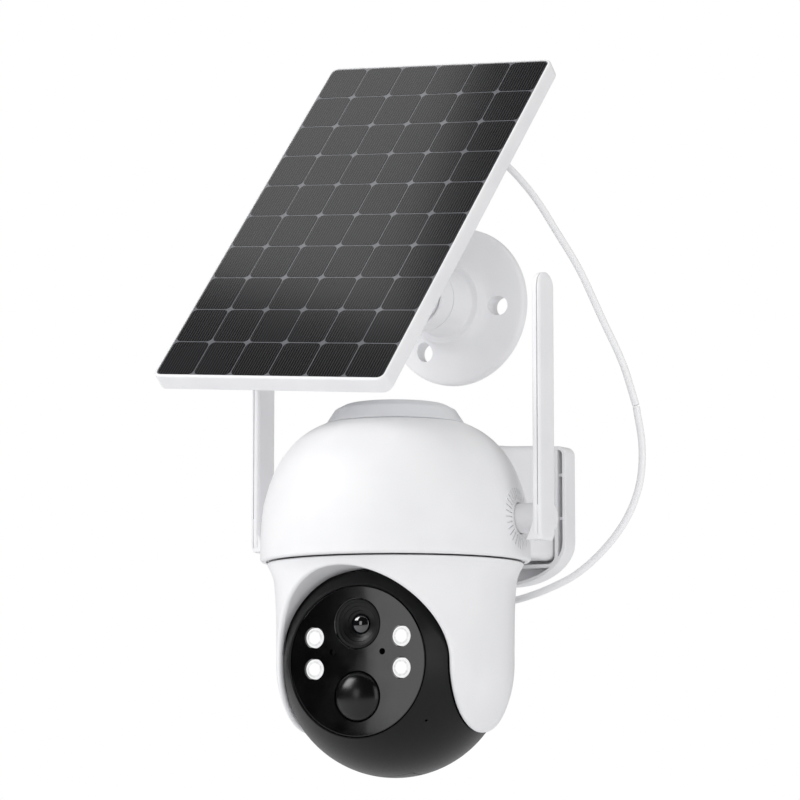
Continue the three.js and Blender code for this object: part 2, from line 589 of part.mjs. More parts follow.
function makeJunctionBox() {
  const { x, y, width, length, low } = JUNCTION;
  const lid = prism(roundedRect(width, length, 4, x, y), low, PANEL.low - GAP, ALONG_Z, 3);
  const room = prism(roundedRect(width - 5, length - 5, 2, x, y), low + 2.5, PANEL.low, ALONG_Z, 3);
  add(panel, "junction_box", "white", lid.subtract(room));
  add(panel, "charge_board", "board", prism(roundedRect(28, 16, 1, x, y), low + 4, low + 5.6));
  const gland = [[0, 0], [4.2, 0], [4.2, 2.4], [3.2, 3], [2.3, 15], [0, 15]];
  const side = x + width / 2 + GAP;
  add(panel, "panel_gland", "white", turned(gland, TINY, [side, y, 36.4], ALONG_X));
}

function makeCable() {
  add(part, "solar_cable_upper", "white", tube(CABLE_UPPER, CABLE_D, 24));
  add(part, "solar_cable_lower", "white", tube(CABLE_LOWER, CABLE_D, 24));
  const plug = [[0, 0], [4.6, 0], [4.6, -3], [3.4, -4], [2.2, -9.6], [0, -9.6]];
  add(part, "camera_gland", "white", turned(plug, TINY, [4, -18.5, RIM_Z + ARM.low - GAP]));
}

makeBracket();
makeHousing();
makeCap();
makeBase();
makeHousingInternals();
makePanPinion();
makeAntenna(1);
makeAntenna(-1);
makeYoke();
makeTiltBearings();
makeEyeShells();
makeFace();
makeOptics();
makeTiltDrive();
makeService();
makeFlange();
makeBallJoint();
makePanel();
makeJunctionBox();
makeCable();

export default part;
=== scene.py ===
"""Looks of a solar-powered pan and tilt security camera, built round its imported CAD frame.

Shapes are drawn in millimetres in their sub-assembly's own frame, and placed in the CAD's frame in metres.
The wall is the plane y = 0, the front is -Y, and +Z is up.
"""
import json
import logging
import math
from dataclasses import dataclass
from enum import Enum
from typing import Any, Optional, Sequence

import bmesh
import bpy
from mathutils import Matrix, Vector

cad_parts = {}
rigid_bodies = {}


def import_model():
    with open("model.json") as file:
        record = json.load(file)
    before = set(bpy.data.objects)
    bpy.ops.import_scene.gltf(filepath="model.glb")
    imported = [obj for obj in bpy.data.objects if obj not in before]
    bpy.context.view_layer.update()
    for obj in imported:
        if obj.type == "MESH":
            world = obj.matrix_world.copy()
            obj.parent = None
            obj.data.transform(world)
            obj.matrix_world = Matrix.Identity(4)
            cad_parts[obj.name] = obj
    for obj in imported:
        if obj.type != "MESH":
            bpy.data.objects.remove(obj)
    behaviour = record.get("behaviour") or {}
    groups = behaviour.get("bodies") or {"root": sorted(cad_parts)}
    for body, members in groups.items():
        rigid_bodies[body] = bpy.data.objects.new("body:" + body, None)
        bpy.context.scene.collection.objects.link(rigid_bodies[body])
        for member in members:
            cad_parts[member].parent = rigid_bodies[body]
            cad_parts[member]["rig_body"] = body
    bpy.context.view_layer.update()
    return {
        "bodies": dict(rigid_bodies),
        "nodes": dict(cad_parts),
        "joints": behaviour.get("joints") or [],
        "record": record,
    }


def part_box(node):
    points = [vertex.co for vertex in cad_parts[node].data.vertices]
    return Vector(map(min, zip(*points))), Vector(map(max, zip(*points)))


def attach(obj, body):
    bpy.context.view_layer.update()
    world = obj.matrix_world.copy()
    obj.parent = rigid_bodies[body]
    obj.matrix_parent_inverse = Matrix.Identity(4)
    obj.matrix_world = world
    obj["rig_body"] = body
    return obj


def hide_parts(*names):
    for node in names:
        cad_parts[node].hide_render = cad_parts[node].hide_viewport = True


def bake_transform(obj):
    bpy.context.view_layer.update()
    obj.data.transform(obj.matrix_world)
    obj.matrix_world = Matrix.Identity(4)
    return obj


log = logging.getLogger("solar_camera")
Point = Sequence[float]
Outline = list[tuple[float, float]]
Piece = bpy.types.Object
MM = 0.001
TAU = 2 * math.pi
CLEAR = 0.3  # mm between neighbouring pieces
SOFT_EDGE = math.radians(34)  # a sharper corner than this is drawn as an edge


# ---------------------------------------------------------------- shapes


class Turn(Enum):
    """The axis that a shape drawn in X and Y stands on."""

    UP = Matrix.Identity(4)
    RIGHT = Matrix(((0, 0, 1, 0), (1, 0, 0, 0), (0, 1, 0, 0), (0, 0, 0, 1)))
    BACK = Matrix(((-1, 0, 0, 0), (0, 0, 1, 0), (0, 1, 0, 0), (0, 0, 0, 1)))


def mesh_object(points: Sequence[Point], faces: Sequence[Sequence[int]], name: str = "work") -> Piece:
    """Makes an object of one closed mesh whose faces point outwards.

    Args:
        points: the vertices.
        faces: the corners of each face.
        name: the object's name.

    Returns:
        The object, linked to the scene.
    """
    mesh = bpy.data.meshes.new(name)
    mesh.from_pydata([tuple(p) for p in points], [], [tuple(f) for f in faces])
    made = bmesh.new()
    made.from_mesh(mesh)
    bmesh.ops.remove_doubles(made, verts=made.verts, dist=1e-5)
    bmesh.ops.recalc_face_normals(made, faces=made.faces)
    made.to_mesh(mesh)
    made.free()
    piece = bpy.data.objects.new(name, mesh)
    bpy.context.scene.collection.objects.link(piece)
    return piece


def filleted(corners: Sequence[Point], steps: int = 5) -> Outline:
    """Rounds the corners of an open line.

    Args:
        corners: points of two numbers, with the corner's radius as a third where it is rounded.
        steps: segments in each rounded corner.

    Returns:
        The points of the rounded line.
    """
    line: Outline = [(corners[0][0], corners[0][1])]
    for before, corner, after in zip(corners, corners[1:], corners[2:]):
        here = Vector(corner[:2])
        if len(corner) < 3:
            line.append(tuple(here))
            continue
        a, b = (Vector(before[:2]) - here), (Vector(after[:2]) - here)
        half = a.angle(b) / 2
        reach = min(corner[2] / math.tan(half), 0.49 * a.length, 0.49 * b.length)
        radius = reach * math.tan(half)
        centre = here + (a.normalized() + b.normalized()).normalized() * (radius / math.sin(half))
        start, end = here + a.normalized() * reach - centre, here + b.normalized() * reach - centre
        sweep = start.angle_signed(end)
        for i in range(steps + 1):
            angle = -sweep * i / steps
            turned = (start.x * math.cos(angle) - start.y * math.sin(angle),
                      start.x * math.sin(angle) + start.y * math.cos(angle))
            line.append((centre.x + turned[0], centre.y + turned[1]))
    line.append((corners[-1][0], corners[-1][1]))
    return line


def smooth_line(points: Sequence[Point], step: float) -> list[Vector]:
    """Runs a centripetal Catmull-Rom curve through points.

    Args:
        points: what the curve passes through.
        step: about how far apart the curve's own points are.

    Returns:
        The curve's points, ends included.
    """
    through = [Vector(p) for p in points]
    knots = [2 * through[0] - through[1], *through, 2 * through[-1] - through[-2]]
    line = [through[0]]
    for p0, p1, p2, p3 in zip(knots, knots[1:], knots[2:], knots[3:]):
        t1 = (p1 - p0).length ** 0.5
        t2 = t1 + (p2 - p1).length ** 0.5
        t3 = t2 + (p3 - p2).length ** 0.5
        count = max(1, round((p2 - p1).length / step))
        for i in range(1, count + 1):
            t = t1 + (t2 - t1) * i / count
            a1 = p0.lerp(p1, t / t1)
            a2 = p1.lerp(p2, (t - t1) / (t2 - t1))
            a3 = p2.lerp(p3, (t - t2) / (t3 - t2))
            b1 = a1.lerp(a2, t / t2)
            b2 = a2.lerp(a3, (t - t1) / (t3 - t1))
            line.append(b1.lerp(b2, (t - t1) / (t2 - t1)))
    return line


def arc(centre: Point, radius: float, start: float, end: float, steps: int) -> Outline:
    """Points of an arc, its angles in degrees."""
    angles = [math.radians(start + (end - start) * i / steps) for i in range(steps + 1)]
    return [(centre[0] + radius * math.cos(a), centre[1] + radius * math.sin(a)) for a in angles]


def bulge(radius: float, depth: float, low: float, steps: int) -> Outline:
    """Points of a domed face, from beside its tip at low to its rim, which is depth higher."""
    angles = [math.pi / (2 * steps) * i for i in range(1, steps + 1)]
    return [(radius * math.sin(a), low + depth - depth * math.cos(a)) for a in angles]


def rounded_rect(width: float, height: float, corner: float, x: float = 0, y: float = 0) -> Outline:
    """Outline of a rectangle with round corners, centred on x, y.

    Args:
        width, height: its size.
        corner: the corners' radius.
        x, y: its centre.

    Returns:
        The outline, anticlockwise.
    """
    w, h = width / 2 - corner, height / 2 - corner
    line: Outline = []
    for i, (sx, sy) in enumerate(((1, 1), (-1, 1), (-1, -1), (1, -1))):
        line += arc((x + sx * w, y + sy * h), corner, 90 * i, 90 * i + 90, 8)
    return line


def inset(outline: Outline, depth: float) -> Outline:
    """An anticlockwise outline moved inwards by depth.

    Args:
        outline: the outline.
        depth: how far each side moves.

    Returns:
        The smaller outline, with as many points.
    """
    moved: Outline = []
    for i, corner in enumerate(outline):
        here = Vector(corner)
        before, after = here - Vector(outline[i - 1]), Vector(outline[(i + 1) % len(outline)]) - here
        a, b = Vector((before.y, -before.x)).normalized(), Vector((after.y, -after.x)).normalized()
        moved.append(tuple(here - (a + b) * (depth / (1 + a.dot(b)))))
    return moved


def loft(rings: Sequence[Sequence[Point]]) -> Piece:
    """Skins rings of as many points each, with a face on each end.

    Args:
        rings: the rings, from one end to the other.

    Returns:
        The object.
    """
    count = len(rings[0])
    points = [p for ring in rings for p in ring]
    faces: list[list[int]] = []
    for low in range(0, len(points) - count, count):
        high = low + count
        faces += [[low + i, low + (i + 1) % count, high + (i + 1) % count, high + i] for i in range(count)]
    faces += [list(range(count)), list(range(len(points) - count, len(points)))]
    return mesh_object(points, faces)


def lathe(profile: Sequence[Point], turn: Turn = Turn.UP, at: Point = (0, 0, 0), steps: int = 96) -> Piece:
    """Solid of revolution.

    Args:
        profile: radius and height along the axis; it starts and ends on the axis, or closes on itself.
        turn: the axis.
        at: a point on the axis, where the height is 0.
        steps: facets round the axis.

    Returns:
        The object.
    """
    points: list[Vector] = []
    rows: list[list[int]] = []
    for radius, height in profile:
        count = 1 if radius < 1e-6 else steps
        rows.append([len(points) + (i if count > 1 else 0) for i in range(steps)])
        points += [Vector((radius * math.cos(TAU * i / steps), radius * math.sin(TAU * i / steps), height))
                   for i in range(count)]
    if profile[0][0] > 1e-6:
        rows.append(rows[0])
    faces = []
    for low, high in zip(rows, rows[1:]):
        for i in range(steps):
            j = (i + 1) % steps
            corners = list(dict.fromkeys([low[i], low[j], high[j], high[i]]))
            if len(corners) > 2:
                faces.append(corners)
    place = Matrix.Translation(at) @ turn.value
    return mesh_object([place @ p for p in points], faces)


def prism(outline: Outline, low: float, high: float, edge: float = 0.0, turn: Turn = Turn.UP,
          at: Point = (0, 0, 0)) -> Piece:
    """Extrusion of an outline from low to high, its two rims rounded by edge.

    Args:
        outline: the anticlockwise outline.
        low, high: its ends along the axis.
        edge: the radius of its two rims.
        turn: the axis.
        at: where the outline's origin lies.

    Returns:
        The object.
    """
    levels = [(low, 0.0), (high, 0.0)]
    if edge:
        rim = [(edge * (1 - math.sin(a)), edge * (1 - math.cos(a)))
               for a in (math.pi / 6 * i for i in range(4))]
        levels = [(low + u, s) for s, u in rim] + [(high - u, s) for s, u in reversed(rim)]
    place = Matrix.Translation(at) @ turn.value
    return loft([[place @ Vector((x, y, z)) for x, y in inset(outline, side)] for z, side in levels])


def rod(radius: float, low: float, high: float, turn: Turn = Turn.UP, at: Point = (0, 0, 0),
        edge: float = 0.0, steps: int = 64) -> Piece:
    """Cylinder from low to high along an axis, its rims rounded by edge."""
    corners = [(0, low), (radius, low, edge), (radius, high, edge), (0, high)]
    return lathe(filleted(corners, 4) if edge else [c[:2] for c in corners], turn, at, steps)


def side_rod(radius: float, near: float, far: float, side: int, at: Point = (0, 0, 0)) -> Piece:
    """Cylinder along X on one side, 1 or -1, from near to far from the middle."""
    low, high = sorted((near * side, far * side))
    return rod(radius, low, high, Turn.RIGHT, at)


def block(low: Point, high: Point) -> Piece:
    """Box between two corners."""
    points = [(x, y, z) for x in (low[0], high[0]) for y in (low[1], high[1]) for z in (low[2], high[2])]
    faces = [(0, 1, 3, 2), (4, 6, 7, 5), (0, 4, 5, 1), (2, 3, 7, 6), (0, 2, 6, 4), (1, 5, 7, 3)]
    return mesh_object(points, faces)


class Join(Enum):
    """How one solid is combined with another."""

    CUT = "DIFFERENCE"
    ADD = "UNION"
    KEEP = "INTERSECT"


def combine(piece: Piece, join: Join, *tools: Piece) -> Piece:
    """Cuts a piece by other solids, or joins them to it.

    Args:
        piece: what is changed.
        join: whether the tools are taken away, added or intersected.
        tools: the other solids, which are used up.

    Returns:
        The piece.
    """
    for tool in tools:
        step = piece.modifiers.new("step", "BOOLEAN")
        step.operation, step.solver, step.object = join.value, "MANIFOLD", tool
        bake(piece)
        bpy.data.objects.remove(tool)
    return piece


def bake(piece: Piece) -> Piece:
    """Turns a piece's modifiers into plain mesh.

    Args:
        piece: the piece.

    Returns:
        The piece.
    """
    bpy.context.view_layer.update()
    seen = piece.evaluated_get(bpy.context.evaluated_depsgraph_get())
    mesh = bpy.data.meshes.new_from_object(seen)
    old = piece.data
    piece.modifiers.clear()
    piece.data = mesh
    bpy.data.meshes.remove(old)
    return piece


def copy_of(piece: Piece) -> Piece:
    """A second object with its own mesh.

    Args:
        piece: the first.

    Returns:
        The second.
    """
    twin = bpy.data.objects.new(piece.name, piece.data.copy())
    bpy.context.scene.collection.objects.link(twin)
    return twin


def tube(path: Sequence[Vector], radius: float, sides: int = 16) -> Piece:
    """Round tube along a path, with its ends closed.

    Args:
        path: its centreline.
        radius: its outer radius.
        sides: facets round it.

    Returns:
        The object.
    """
    rings = []
    side = Vector((0, 0, 1)).cross(path[1] - path[0]).normalized()
    for i, point in enumerate(path):
        ahead = (path[min(i + 1, len(path) - 1)] - path[max(i - 1, 0)]).normalized()
        side = (side - ahead * side.dot(ahead)).normalized()
        other = ahead.cross(side)
        rings.append([point + radius * (math.cos(TAU * k / sides) * side + math.sin(TAU * k / sides) * other)
                      for k in range(sides)])
    return loft(rings)


# ---------------------------------------------------------------- node trees


class Nodes:
    """A node tree, with short ways to add to it."""

    def __init__(self, tree: bpy.types.NodeTree) -> None:
        """Takes a tree and empties it."""
        self.tree = tree
        self.tree.nodes.clear()

    def node(self, kind: str, links: Optional[dict[Any, Any]] = None, **settings: Any) -> Any:
        """Adds a node with its settings, values and links.

        Args:
            kind: the node's type.
            links: socket name or number to another node, whose first output it takes, to an output socket, or
                to a plain value.
            settings: the node's own properties.

        Returns:
            The node.
        """
        made = self.tree.nodes.new(kind)
        for key, value in settings.items():
            setattr(made, key, value)
        for key, value in (links or {}).items():
            self.feed(made.inputs[key], value)
        return made

    def feed(self, socket: bpy.types.NodeSocket, value: Any) -> None:
        """Links a socket to a node or an output socket, or sets its value.

        Args:
            socket: the input socket.
            value: what it takes.
        """
        if isinstance(value, bpy.types.Node):
            value = value.outputs[0]
        if isinstance(value, bpy.types.NodeSocket):
            self.tree.links.new(value, socket)
        else:
            socket.default_value = value


class Repeat(Nodes):
    """A Geometry Nodes tree with named inputs, used once and turned into plain mesh."""

    def __init__(self, name: str) -> None:
        """Starts an empty tree with a geometry output.

        Args:
            name: the tree's name.
        """
        super().__init__(bpy.data.node_groups.new(name, "GeometryNodeTree"))
        self.tree.interface.new_socket("Geometry", in_out="OUTPUT", socket_type="NodeSocketGeometry")
        self.inputs = self.node("NodeGroupInput")
        self.values: dict[str, float] = {}

    def size(self, name: str, value: float, kind: str = "NodeSocketFloat") -> Any:
        """Adds a named size to the tree and returns its socket.

        Args:
            name: the input's name.
            value: its value.
            kind: its socket type.

        Returns:
            The socket that gives the size.
        """
        item = self.tree.interface.new_socket(name, in_out="INPUT", socket_type=kind)
        self.values[item.identifier] = value
        return self.inputs.outputs[name]

    def grow(self, geometry: Any, material: bpy.types.Material) -> Piece:
        """Realizes the instances, sets the material and returns the plain mesh's object.

        Args:
            geometry: the node or socket with the instances.
            material: their finish.

        Returns:
            The object, with plain mesh.
        """
        real = self.node("GeometryNodeRealizeInstances", {0: geometry})
        dressed = self.node("GeometryNodeSetMaterial", {"Geometry": real, "Material": material})
        self.node("NodeGroupOutput", {0: dressed})
        piece = mesh_object([(0, 0, 0)], [])
        step = piece.modifiers.new("repeat", "NODES")
        step.node_group = self.tree
        for identifier, value in self.values.items():
            step[identifier] = value
        return bake(piece)


def cell_grid(columns: int, rows: int, pitch: Point, gap: float, corner: float, thick: float,
              material: bpy.types.Material) -> Piece:
    """Grid of thin rounded cells, centred on the origin.

    Args:
        columns, rows: how many cells there are each way.
        pitch: the cells' spacing in X and Y.
        gap: the space between neighbours.
        corner: the radius of a cell's corners.
        thick: the cells' thickness.
        material: their finish.

    Returns:
        One object with all the cells.
    """
    work = Repeat("solar cell grid")
    x, y = work.size("Pitch X", pitch[0]), work.size("Pitch Y", pitch[1])
    nx, ny = work.size("Columns", columns, "NodeSocketInt"), work.size("Rows", rows, "NodeSocketInt")
    space, radius, height = work.size("Gap", gap), work.size("Corner", corner), work.size("Thickness", thick)

    wide = work.node("ShaderNodeMath", {0: x, 1: space}, operation="SUBTRACT")
    long = work.node("ShaderNodeMath", {0: y, 1: space}, operation="SUBTRACT")
    shape = work.node("GeometryNodeCurvePrimitiveQuadrilateral", {"Width": wide, "Height": long})
    soft = work.node("GeometryNodeFilletCurve", {"Curve": shape, "Radius": radius, "Count": 4}, mode="POLY")
    face = work.node("GeometryNodeFillCurve", {0: soft})
    cell = work.node("GeometryNodeExtrudeMesh", {"Mesh": face, "Offset Scale": height, "Individual": False})
    spans = []
    for step, number in ((x, nx), (y, ny)):
        steps = work.node("ShaderNodeMath", {0: number, 1: 1.0}, operation="SUBTRACT")
        spans.append(work.node("ShaderNodeMath", {0: step, 1: steps}, operation="MULTIPLY"))
    grid = work.node("GeometryNodeMeshGrid",
                     {"Size X": spans[0], "Size Y": spans[1], "Vertices X": nx, "Vertices Y": ny})
    cells = work.node("GeometryNodeInstanceOnPoints", {"Points": grid, "Instance": cell})
    return work.grow(cells, material)


def ring_of_bars(count: int, radius: float, size: Point, material: bpy.types.Material) -> Piece:
    """Bars that stand radially in a circle round Z.

    Args:
        count: how many bars there are.
        radius: how far their middles are from the centre.
        size: a bar's length along the radius, width and height.
        material: their finish.

    Returns:
        One object with all the bars.
    """
    work = Repeat("ring of bars")
    number, reach = work.size("Count", count, "NodeSocketInt"), work.size("Radius", radius)
    sides = [work.size(name, value) for name, value in zip(("Length", "Width", "Height"), size)]
    sizes = work.node("ShaderNodeCombineXYZ", dict(enumerate(sides)))
    bar = work.node("GeometryNodeMeshCube", {"Size": sizes})
    circle = work.node("GeometryNodeMeshCircle", {"Vertices": number, "Radius": reach})
    index = work.node("GeometryNodeInputIndex")
    part = work.node("ShaderNodeMath", {0: index, 1: number}, operation="DIVIDE")
    angle = work.node("ShaderNodeMath", {0: part, 1: TAU}, operation="MULTIPLY")
    turn = work.node("ShaderNodeCombineXYZ", {"Z": angle})
    bars = work.node("GeometryNodeInstanceOnPoints", {"Points": circle, "Instance": bar, "Rotation": turn})
    return work.grow(bars, material)


# ---------------------------------------------------------------- finishes


def linear(code: str) -> tuple[float, float, float, float]:
    """Linear colour of an sRGB hex value."""
    parts = [int(code[i:i + 2], 16) / 255 for i in (1, 3, 5)]
    return (*[p / 12.92 if p <= 0.04045 else ((p + 0.055) / 1.055) ** 2.4 for p in parts], 1.0)


class Canvas(Nodes):
    """A material's node tree with its Principled shader."""

    def __init__(self, name: str) -> None:
        """Starts an empty material.

        Args:
            name: the material's name.
        """
        self.material = bpy.data.materials.new(name)
        self.material.use_nodes = True
        super().__init__(self.material.node_tree)
        self.shader = self.node("ShaderNodeBsdfPrincipled")
        self.node("ShaderNodeOutputMaterial", {0: self.shader})
        self.place = self.node("ShaderNodeTexCoord")

    def set(self, **values: Any) -> None:
        """Sets or links the shader's sockets, an underscore standing for a space in a socket's name."""
        for key, value in values.items():
            self.feed(self.shader.inputs[key.replace("_", " ")], value)

    def lumps(self, size_mm: float, detail: float = 2.0) -> dict[str, Any]:
        """Settings of a noise on the piece itself, whose lumps are about size_mm across."""
        return {"Vector": self.place.outputs["Object"], "Scale": 1 / (size_mm * MM), "Detail": detail,
                "Roughness": 0.55}


@dataclass(frozen=True)
class Finish:
    """A named material. Each kind draws itself once."""

    name: str
    slot: str = ""  # the record's material slot, for the finishes of replaced nodes

    def material(self) -> bpy.types.Material:
        """The Blender material, made on first use."""
        found = bpy.data.materials.get(self.name)
        if found is None:
            canvas = Canvas(self.name)
            self.draw(canvas)
            found = canvas.material
        return found

    def draw(self, canvas: Canvas) -> None:
        """Builds the nodes."""
        raise NotImplementedError


# Nearly all of a noise lies between these heights, so it is stretched from them.
SPREAD = {1: 0.35, 2: 0.65}


@dataclass(frozen=True)
class Moulded(Finish):
    """Injection-moulded plastic: a fine spark-eroded grain breaks up the highlight, with faint flow marks."""

    colour: str = "#f0f0f1"
    shade: str = "#ececee"
    roughness: float = 0.42
    grain_mm: float = 0.35
    grain_depth_mm: float = 0.003
    flow_mm: float = 28.0
    coat: float = 0.0
    ior: float = 1.5

    def draw(self, canvas: Canvas) -> None:
        """Grain in the relief and the roughness, flow marks in the colour."""
        flow = canvas.node("ShaderNodeTexNoise", canvas.lumps(self.flow_mm))
        mark = canvas.node("ShaderNodeMapRange", {0: flow, **SPREAD, 3: 0.0, 4: 1.0})
        colour = canvas.node("ShaderNodeMix", {0: mark, 6: linear(self.colour), 7: linear(self.shade)},
                             data_type="RGBA")
        grain = canvas.node("ShaderNodeTexNoise", canvas.lumps(self.grain_mm))
        rough = canvas.node("ShaderNodeMapRange",
                            {0: grain, **SPREAD, 3: self.roughness - 0.05, 4: self.roughness + 0.07})
        relief = canvas.node("ShaderNodeBump",
                             {"Height": grain, "Distance": self.grain_depth_mm * MM, "Strength": 1.0})
        canvas.set(Base_Color=colour.outputs[2], Roughness=rough, IOR=self.ior, Coat_Weight=self.coat,
                   Coat_Roughness=0.06, Normal=relief)


@dataclass(frozen=True)
class Turned(Finish):
    """Bare steel or aluminium: brushed or turned, so the highlight is drawn out in fine lines."""

    colour: str = "#b5b7ba"
    shade: str = "#9b9da1"
    roughness: float = 0.3
    line_mm: float = 0.25
    stretch: float = 12.0
    depth_mm: float = 0.004

    def draw(self, canvas: Canvas) -> None:
        """Fine lines along the piece, in the colour, the roughness and the relief."""
        along = canvas.node("ShaderNodeMapping",
                            {"Vector": canvas.place.outputs["Object"], "Scale": (1, 1, self.stretch)})
        lines = canvas.node("ShaderNodeTexNoise",
                            {"Vector": along, "Scale": 1 / (self.line_mm * MM * self.stretch), "Detail": 2.0})
        mark = canvas.node("ShaderNodeMapRange", {0: lines, **SPREAD, 3: 0.0, 4: 1.0})
        colour = canvas.node("ShaderNodeMix", {0: mark, 6: linear(self.colour), 7: linear(self.shade)},
                             data_type="RGBA")
        rough = canvas.node("ShaderNodeMapRange",
                            {0: lines, **SPREAD, 3: self.roughness - 0.08, 4: self.roughness + 0.1})
        relief = canvas.node("ShaderNodeBump",
                             {"Height": lines, "Distance": self.depth_mm * MM, "Strength": 1.0})
        canvas.set(Base_Color=colour.outputs[2], Metallic=1.0, Roughness=rough, Normal=relief)


@dataclass(frozen=True)
class SolderMask(Finish):
    """Printed circuit board: solder mask over copper tracks, which show as raised lighter lines."""

    mask: str = "#12462a"
    track: str = "#2f7a4b"
    track_mm: float = 2.4
    depth_mm: float = 0.03

    def draw(self, canvas: Canvas) -> None:
        """Tracks along the edges of cells, in the colour and the relief."""
        edge = canvas.node("ShaderNodeTexVoronoi",
                           {"Vector": canvas.place.outputs["Object"], "Scale": 1 / (self.track_mm * MM)},
                           feature="DISTANCE_TO_EDGE")
        line = canvas.node("ShaderNodeMapRange", {0: edge, 1: 0.03, 2: 0.06, 3: 1.0, 4: 0.0})
        colour = canvas.node("ShaderNodeMix", {0: line, 6: linear(self.mask), 7: linear(self.track)},
                             data_type="RGBA")
        relief = canvas.node("ShaderNodeBump",
                             {"Height": line, "Distance": self.depth_mm * MM, "Strength": 1.0})
        canvas.set(Base_Color=colour.outputs[2], Roughness=0.32, IOR=1.55, Normal=relief)


@dataclass(frozen=True)
class CellGlass(Finish):
    """Monocrystalline silicon behind glass: blue-black, with fine silver fingers along the panel's length."""

    silicon: str = "#070708"
    silicon_lighter: str = "#0c0c0e"
    silver: str = "#4c4c50"
    finger_mm: float = 1.28
    depth_mm: float = 0.004

    def draw(self, canvas: Canvas) -> None:
        """Fingers across U, and a slow change of tone from cell to cell. The UV map is in millimetres."""
        uv = canvas.node("ShaderNodeUVMap", uv_map="Flat")
        split = canvas.node("ShaderNodeSeparateXYZ", {0: uv})
        phase = canvas.node("ShaderNodeMath", {0: split, 1: TAU / self.finger_mm}, operation="MULTIPLY")
        wave = canvas.node("ShaderNodeMath", {0: phase}, operation="COSINE")
        finger = canvas.node("ShaderNodeMapRange", {0: wave, 1: 0.45, 2: 0.95, 3: 0.0, 4: 0.55})
        cloud = canvas.node("ShaderNodeTexNoise", canvas.lumps(24, 1.0))
        tone = canvas.node("ShaderNodeMapRange", {0: cloud, **SPREAD, 3: 0.0, 4: 1.0})
        cell = canvas.node("ShaderNodeMix",
                           {0: tone, 6: linear(self.silicon), 7: linear(self.silicon_lighter)},
                           data_type="RGBA")
        colour = canvas.node("ShaderNodeMix", {0: finger, 6: cell.outputs[2], 7: linear(self.silver)},
                             data_type="RGBA")
        relief = canvas.node("ShaderNodeBump",
                             {"Height": finger, "Distance": self.depth_mm * MM, "Strength": 1.0})
        canvas.set(Base_Color=colour.outputs[2], Roughness=0.6, Specular_IOR_Level=0.15, Coat_Weight=1.0,
                   Coat_Roughness=0.11, Normal=relief)


@dataclass(frozen=True)
class Glossy(Finish):
    """Polished black acrylic or coated glass: a mirror-like skin with only a trace of haze."""

    colour: str = "#030304"
    shade: str = "#060607"
    roughness: float = 0.05
    haze: float = 0.03
    haze_mm: float = 9.0
    ior: float = 1.45
    coat: float = 0.35

    def draw(self, canvas: Canvas) -> None:
        """Haze that wanders over the surface, in the colour and the roughness."""
        haze = canvas.node("ShaderNodeTexNoise", canvas.lumps(self.haze_mm))
        tone = canvas.node("ShaderNodeMapRange", {0: haze, **SPREAD, 3: 0.0, 4: 1.0})
        colour = canvas.node("ShaderNodeMix", {0: tone, 6: linear(self.colour), 7: linear(self.shade)},
                             data_type="RGBA")
        rough = canvas.node("ShaderNodeMapRange",
                            {0: haze, **SPREAD, 3: self.roughness, 4: self.roughness + self.haze})
        canvas.set(Base_Color=colour.outputs[2], Roughness=rough, IOR=self.ior, Coat_Weight=self.coat,
                   Coat_Roughness=0.03)


@dataclass(frozen=True)
class Lit(Finish):
    """Frosted clear acrylic over a lit white lamp: evenly bright, a little brighter in the middle."""

    strength: float = 0.75
    cloud_mm: float = 1.2

    def draw(self, canvas: Canvas) -> None:
        """The UV map is in lamp radii: bright in the middle, with a dimmer moulded ring near the edge."""
        uv = canvas.node("ShaderNodeUVMap", uv_map="Disc")
        length = canvas.node("ShaderNodeVectorMath", {0: uv}, operation="LENGTH")
        reach = length.outputs["Value"]
        rise = canvas.node("ShaderNodeMapRange", {0: reach, 1: 0.5, 2: 0.72, 3: 0.0, 4: 1.0})
        fall = canvas.node("ShaderNodeMapRange", {0: reach, 1: 0.74, 2: 0.92, 3: 1.0, 4: 0.0})
        ring = canvas.node("ShaderNodeMath", {0: rise, 1: fall}, operation="MULTIPLY")
        cloud = canvas.node("ShaderNodeTexNoise", canvas.lumps(self.cloud_mm))
        frost = canvas.node("ShaderNodeMapRange", {0: cloud, **SPREAD, 3: 0.2, 4: 0.42})
        dim = canvas.node("ShaderNodeMath", {0: ring, 1: frost}, operation="MULTIPLY")
        glow = canvas.node("ShaderNodeMath", {0: self.strength, 1: dim}, operation="SUBTRACT")
        canvas.set(Base_Color=linear("#8f908e"), Roughness=0.35, Emission_Color=linear("#fdfdff"),
                   Emission_Strength=glow)


# Every shell, bracket and antenna: a clean cool white with a satin sheen that the grain spreads.
WHITE = Moulded("white ASA, spark-eroded", "white_shell")
# The cable: a little whiter and smoother than the shells, with no grain to see.
CABLE_WHITE = Moulded("white PVC jacket, extruded", "cable_jacket", colour="#f8f8f9", shade="#f6f6f7",
                      roughness=0.36, grain_mm=2.5, grain_depth_mm=0.0005)
# The cap on the dome: a shade darker than the dome, so its rim shows.
GREY = Moulded("light grey ABS, moulded", "grey_plastic", colour="#e2e3e5", shade="#dddee1", roughness=0.45)
# The ball: deep black with a broad, soft highlight.
BLACK = Moulded("black ABS, satin moulded", "black_shell", colour="#0e0e0f", shade="#0c0c0d", roughness=0.34,
                grain_depth_mm=0.002, ior=1.34)
# Between the cells: thin mid-grey lines under a clear gloss.
SHEET = Moulded("grey encapsulant sheet", "solar_cells", colour="#6e6f74", shade="#67686d", roughness=0.4,
                coat=1.0)
# The gears: warm, waxy off-white.
ACETAL = Moulded("natural acetal, moulded", colour="#e6e4da", shade="#dedbd0", roughness=0.3)
# The gaskets: flat black that takes no highlight.
SILICONE = Moulded("black silicone rubber", colour="#1b1b1c", shade="#161617", roughness=0.75,
                   grain_depth_mm=0.01)
# The battery: bright blue film, tight and shiny.
WRAP = Moulded("blue heat-shrink film", colour="#27639f", shade="#1f558c", roughness=0.25, coat=0.4)
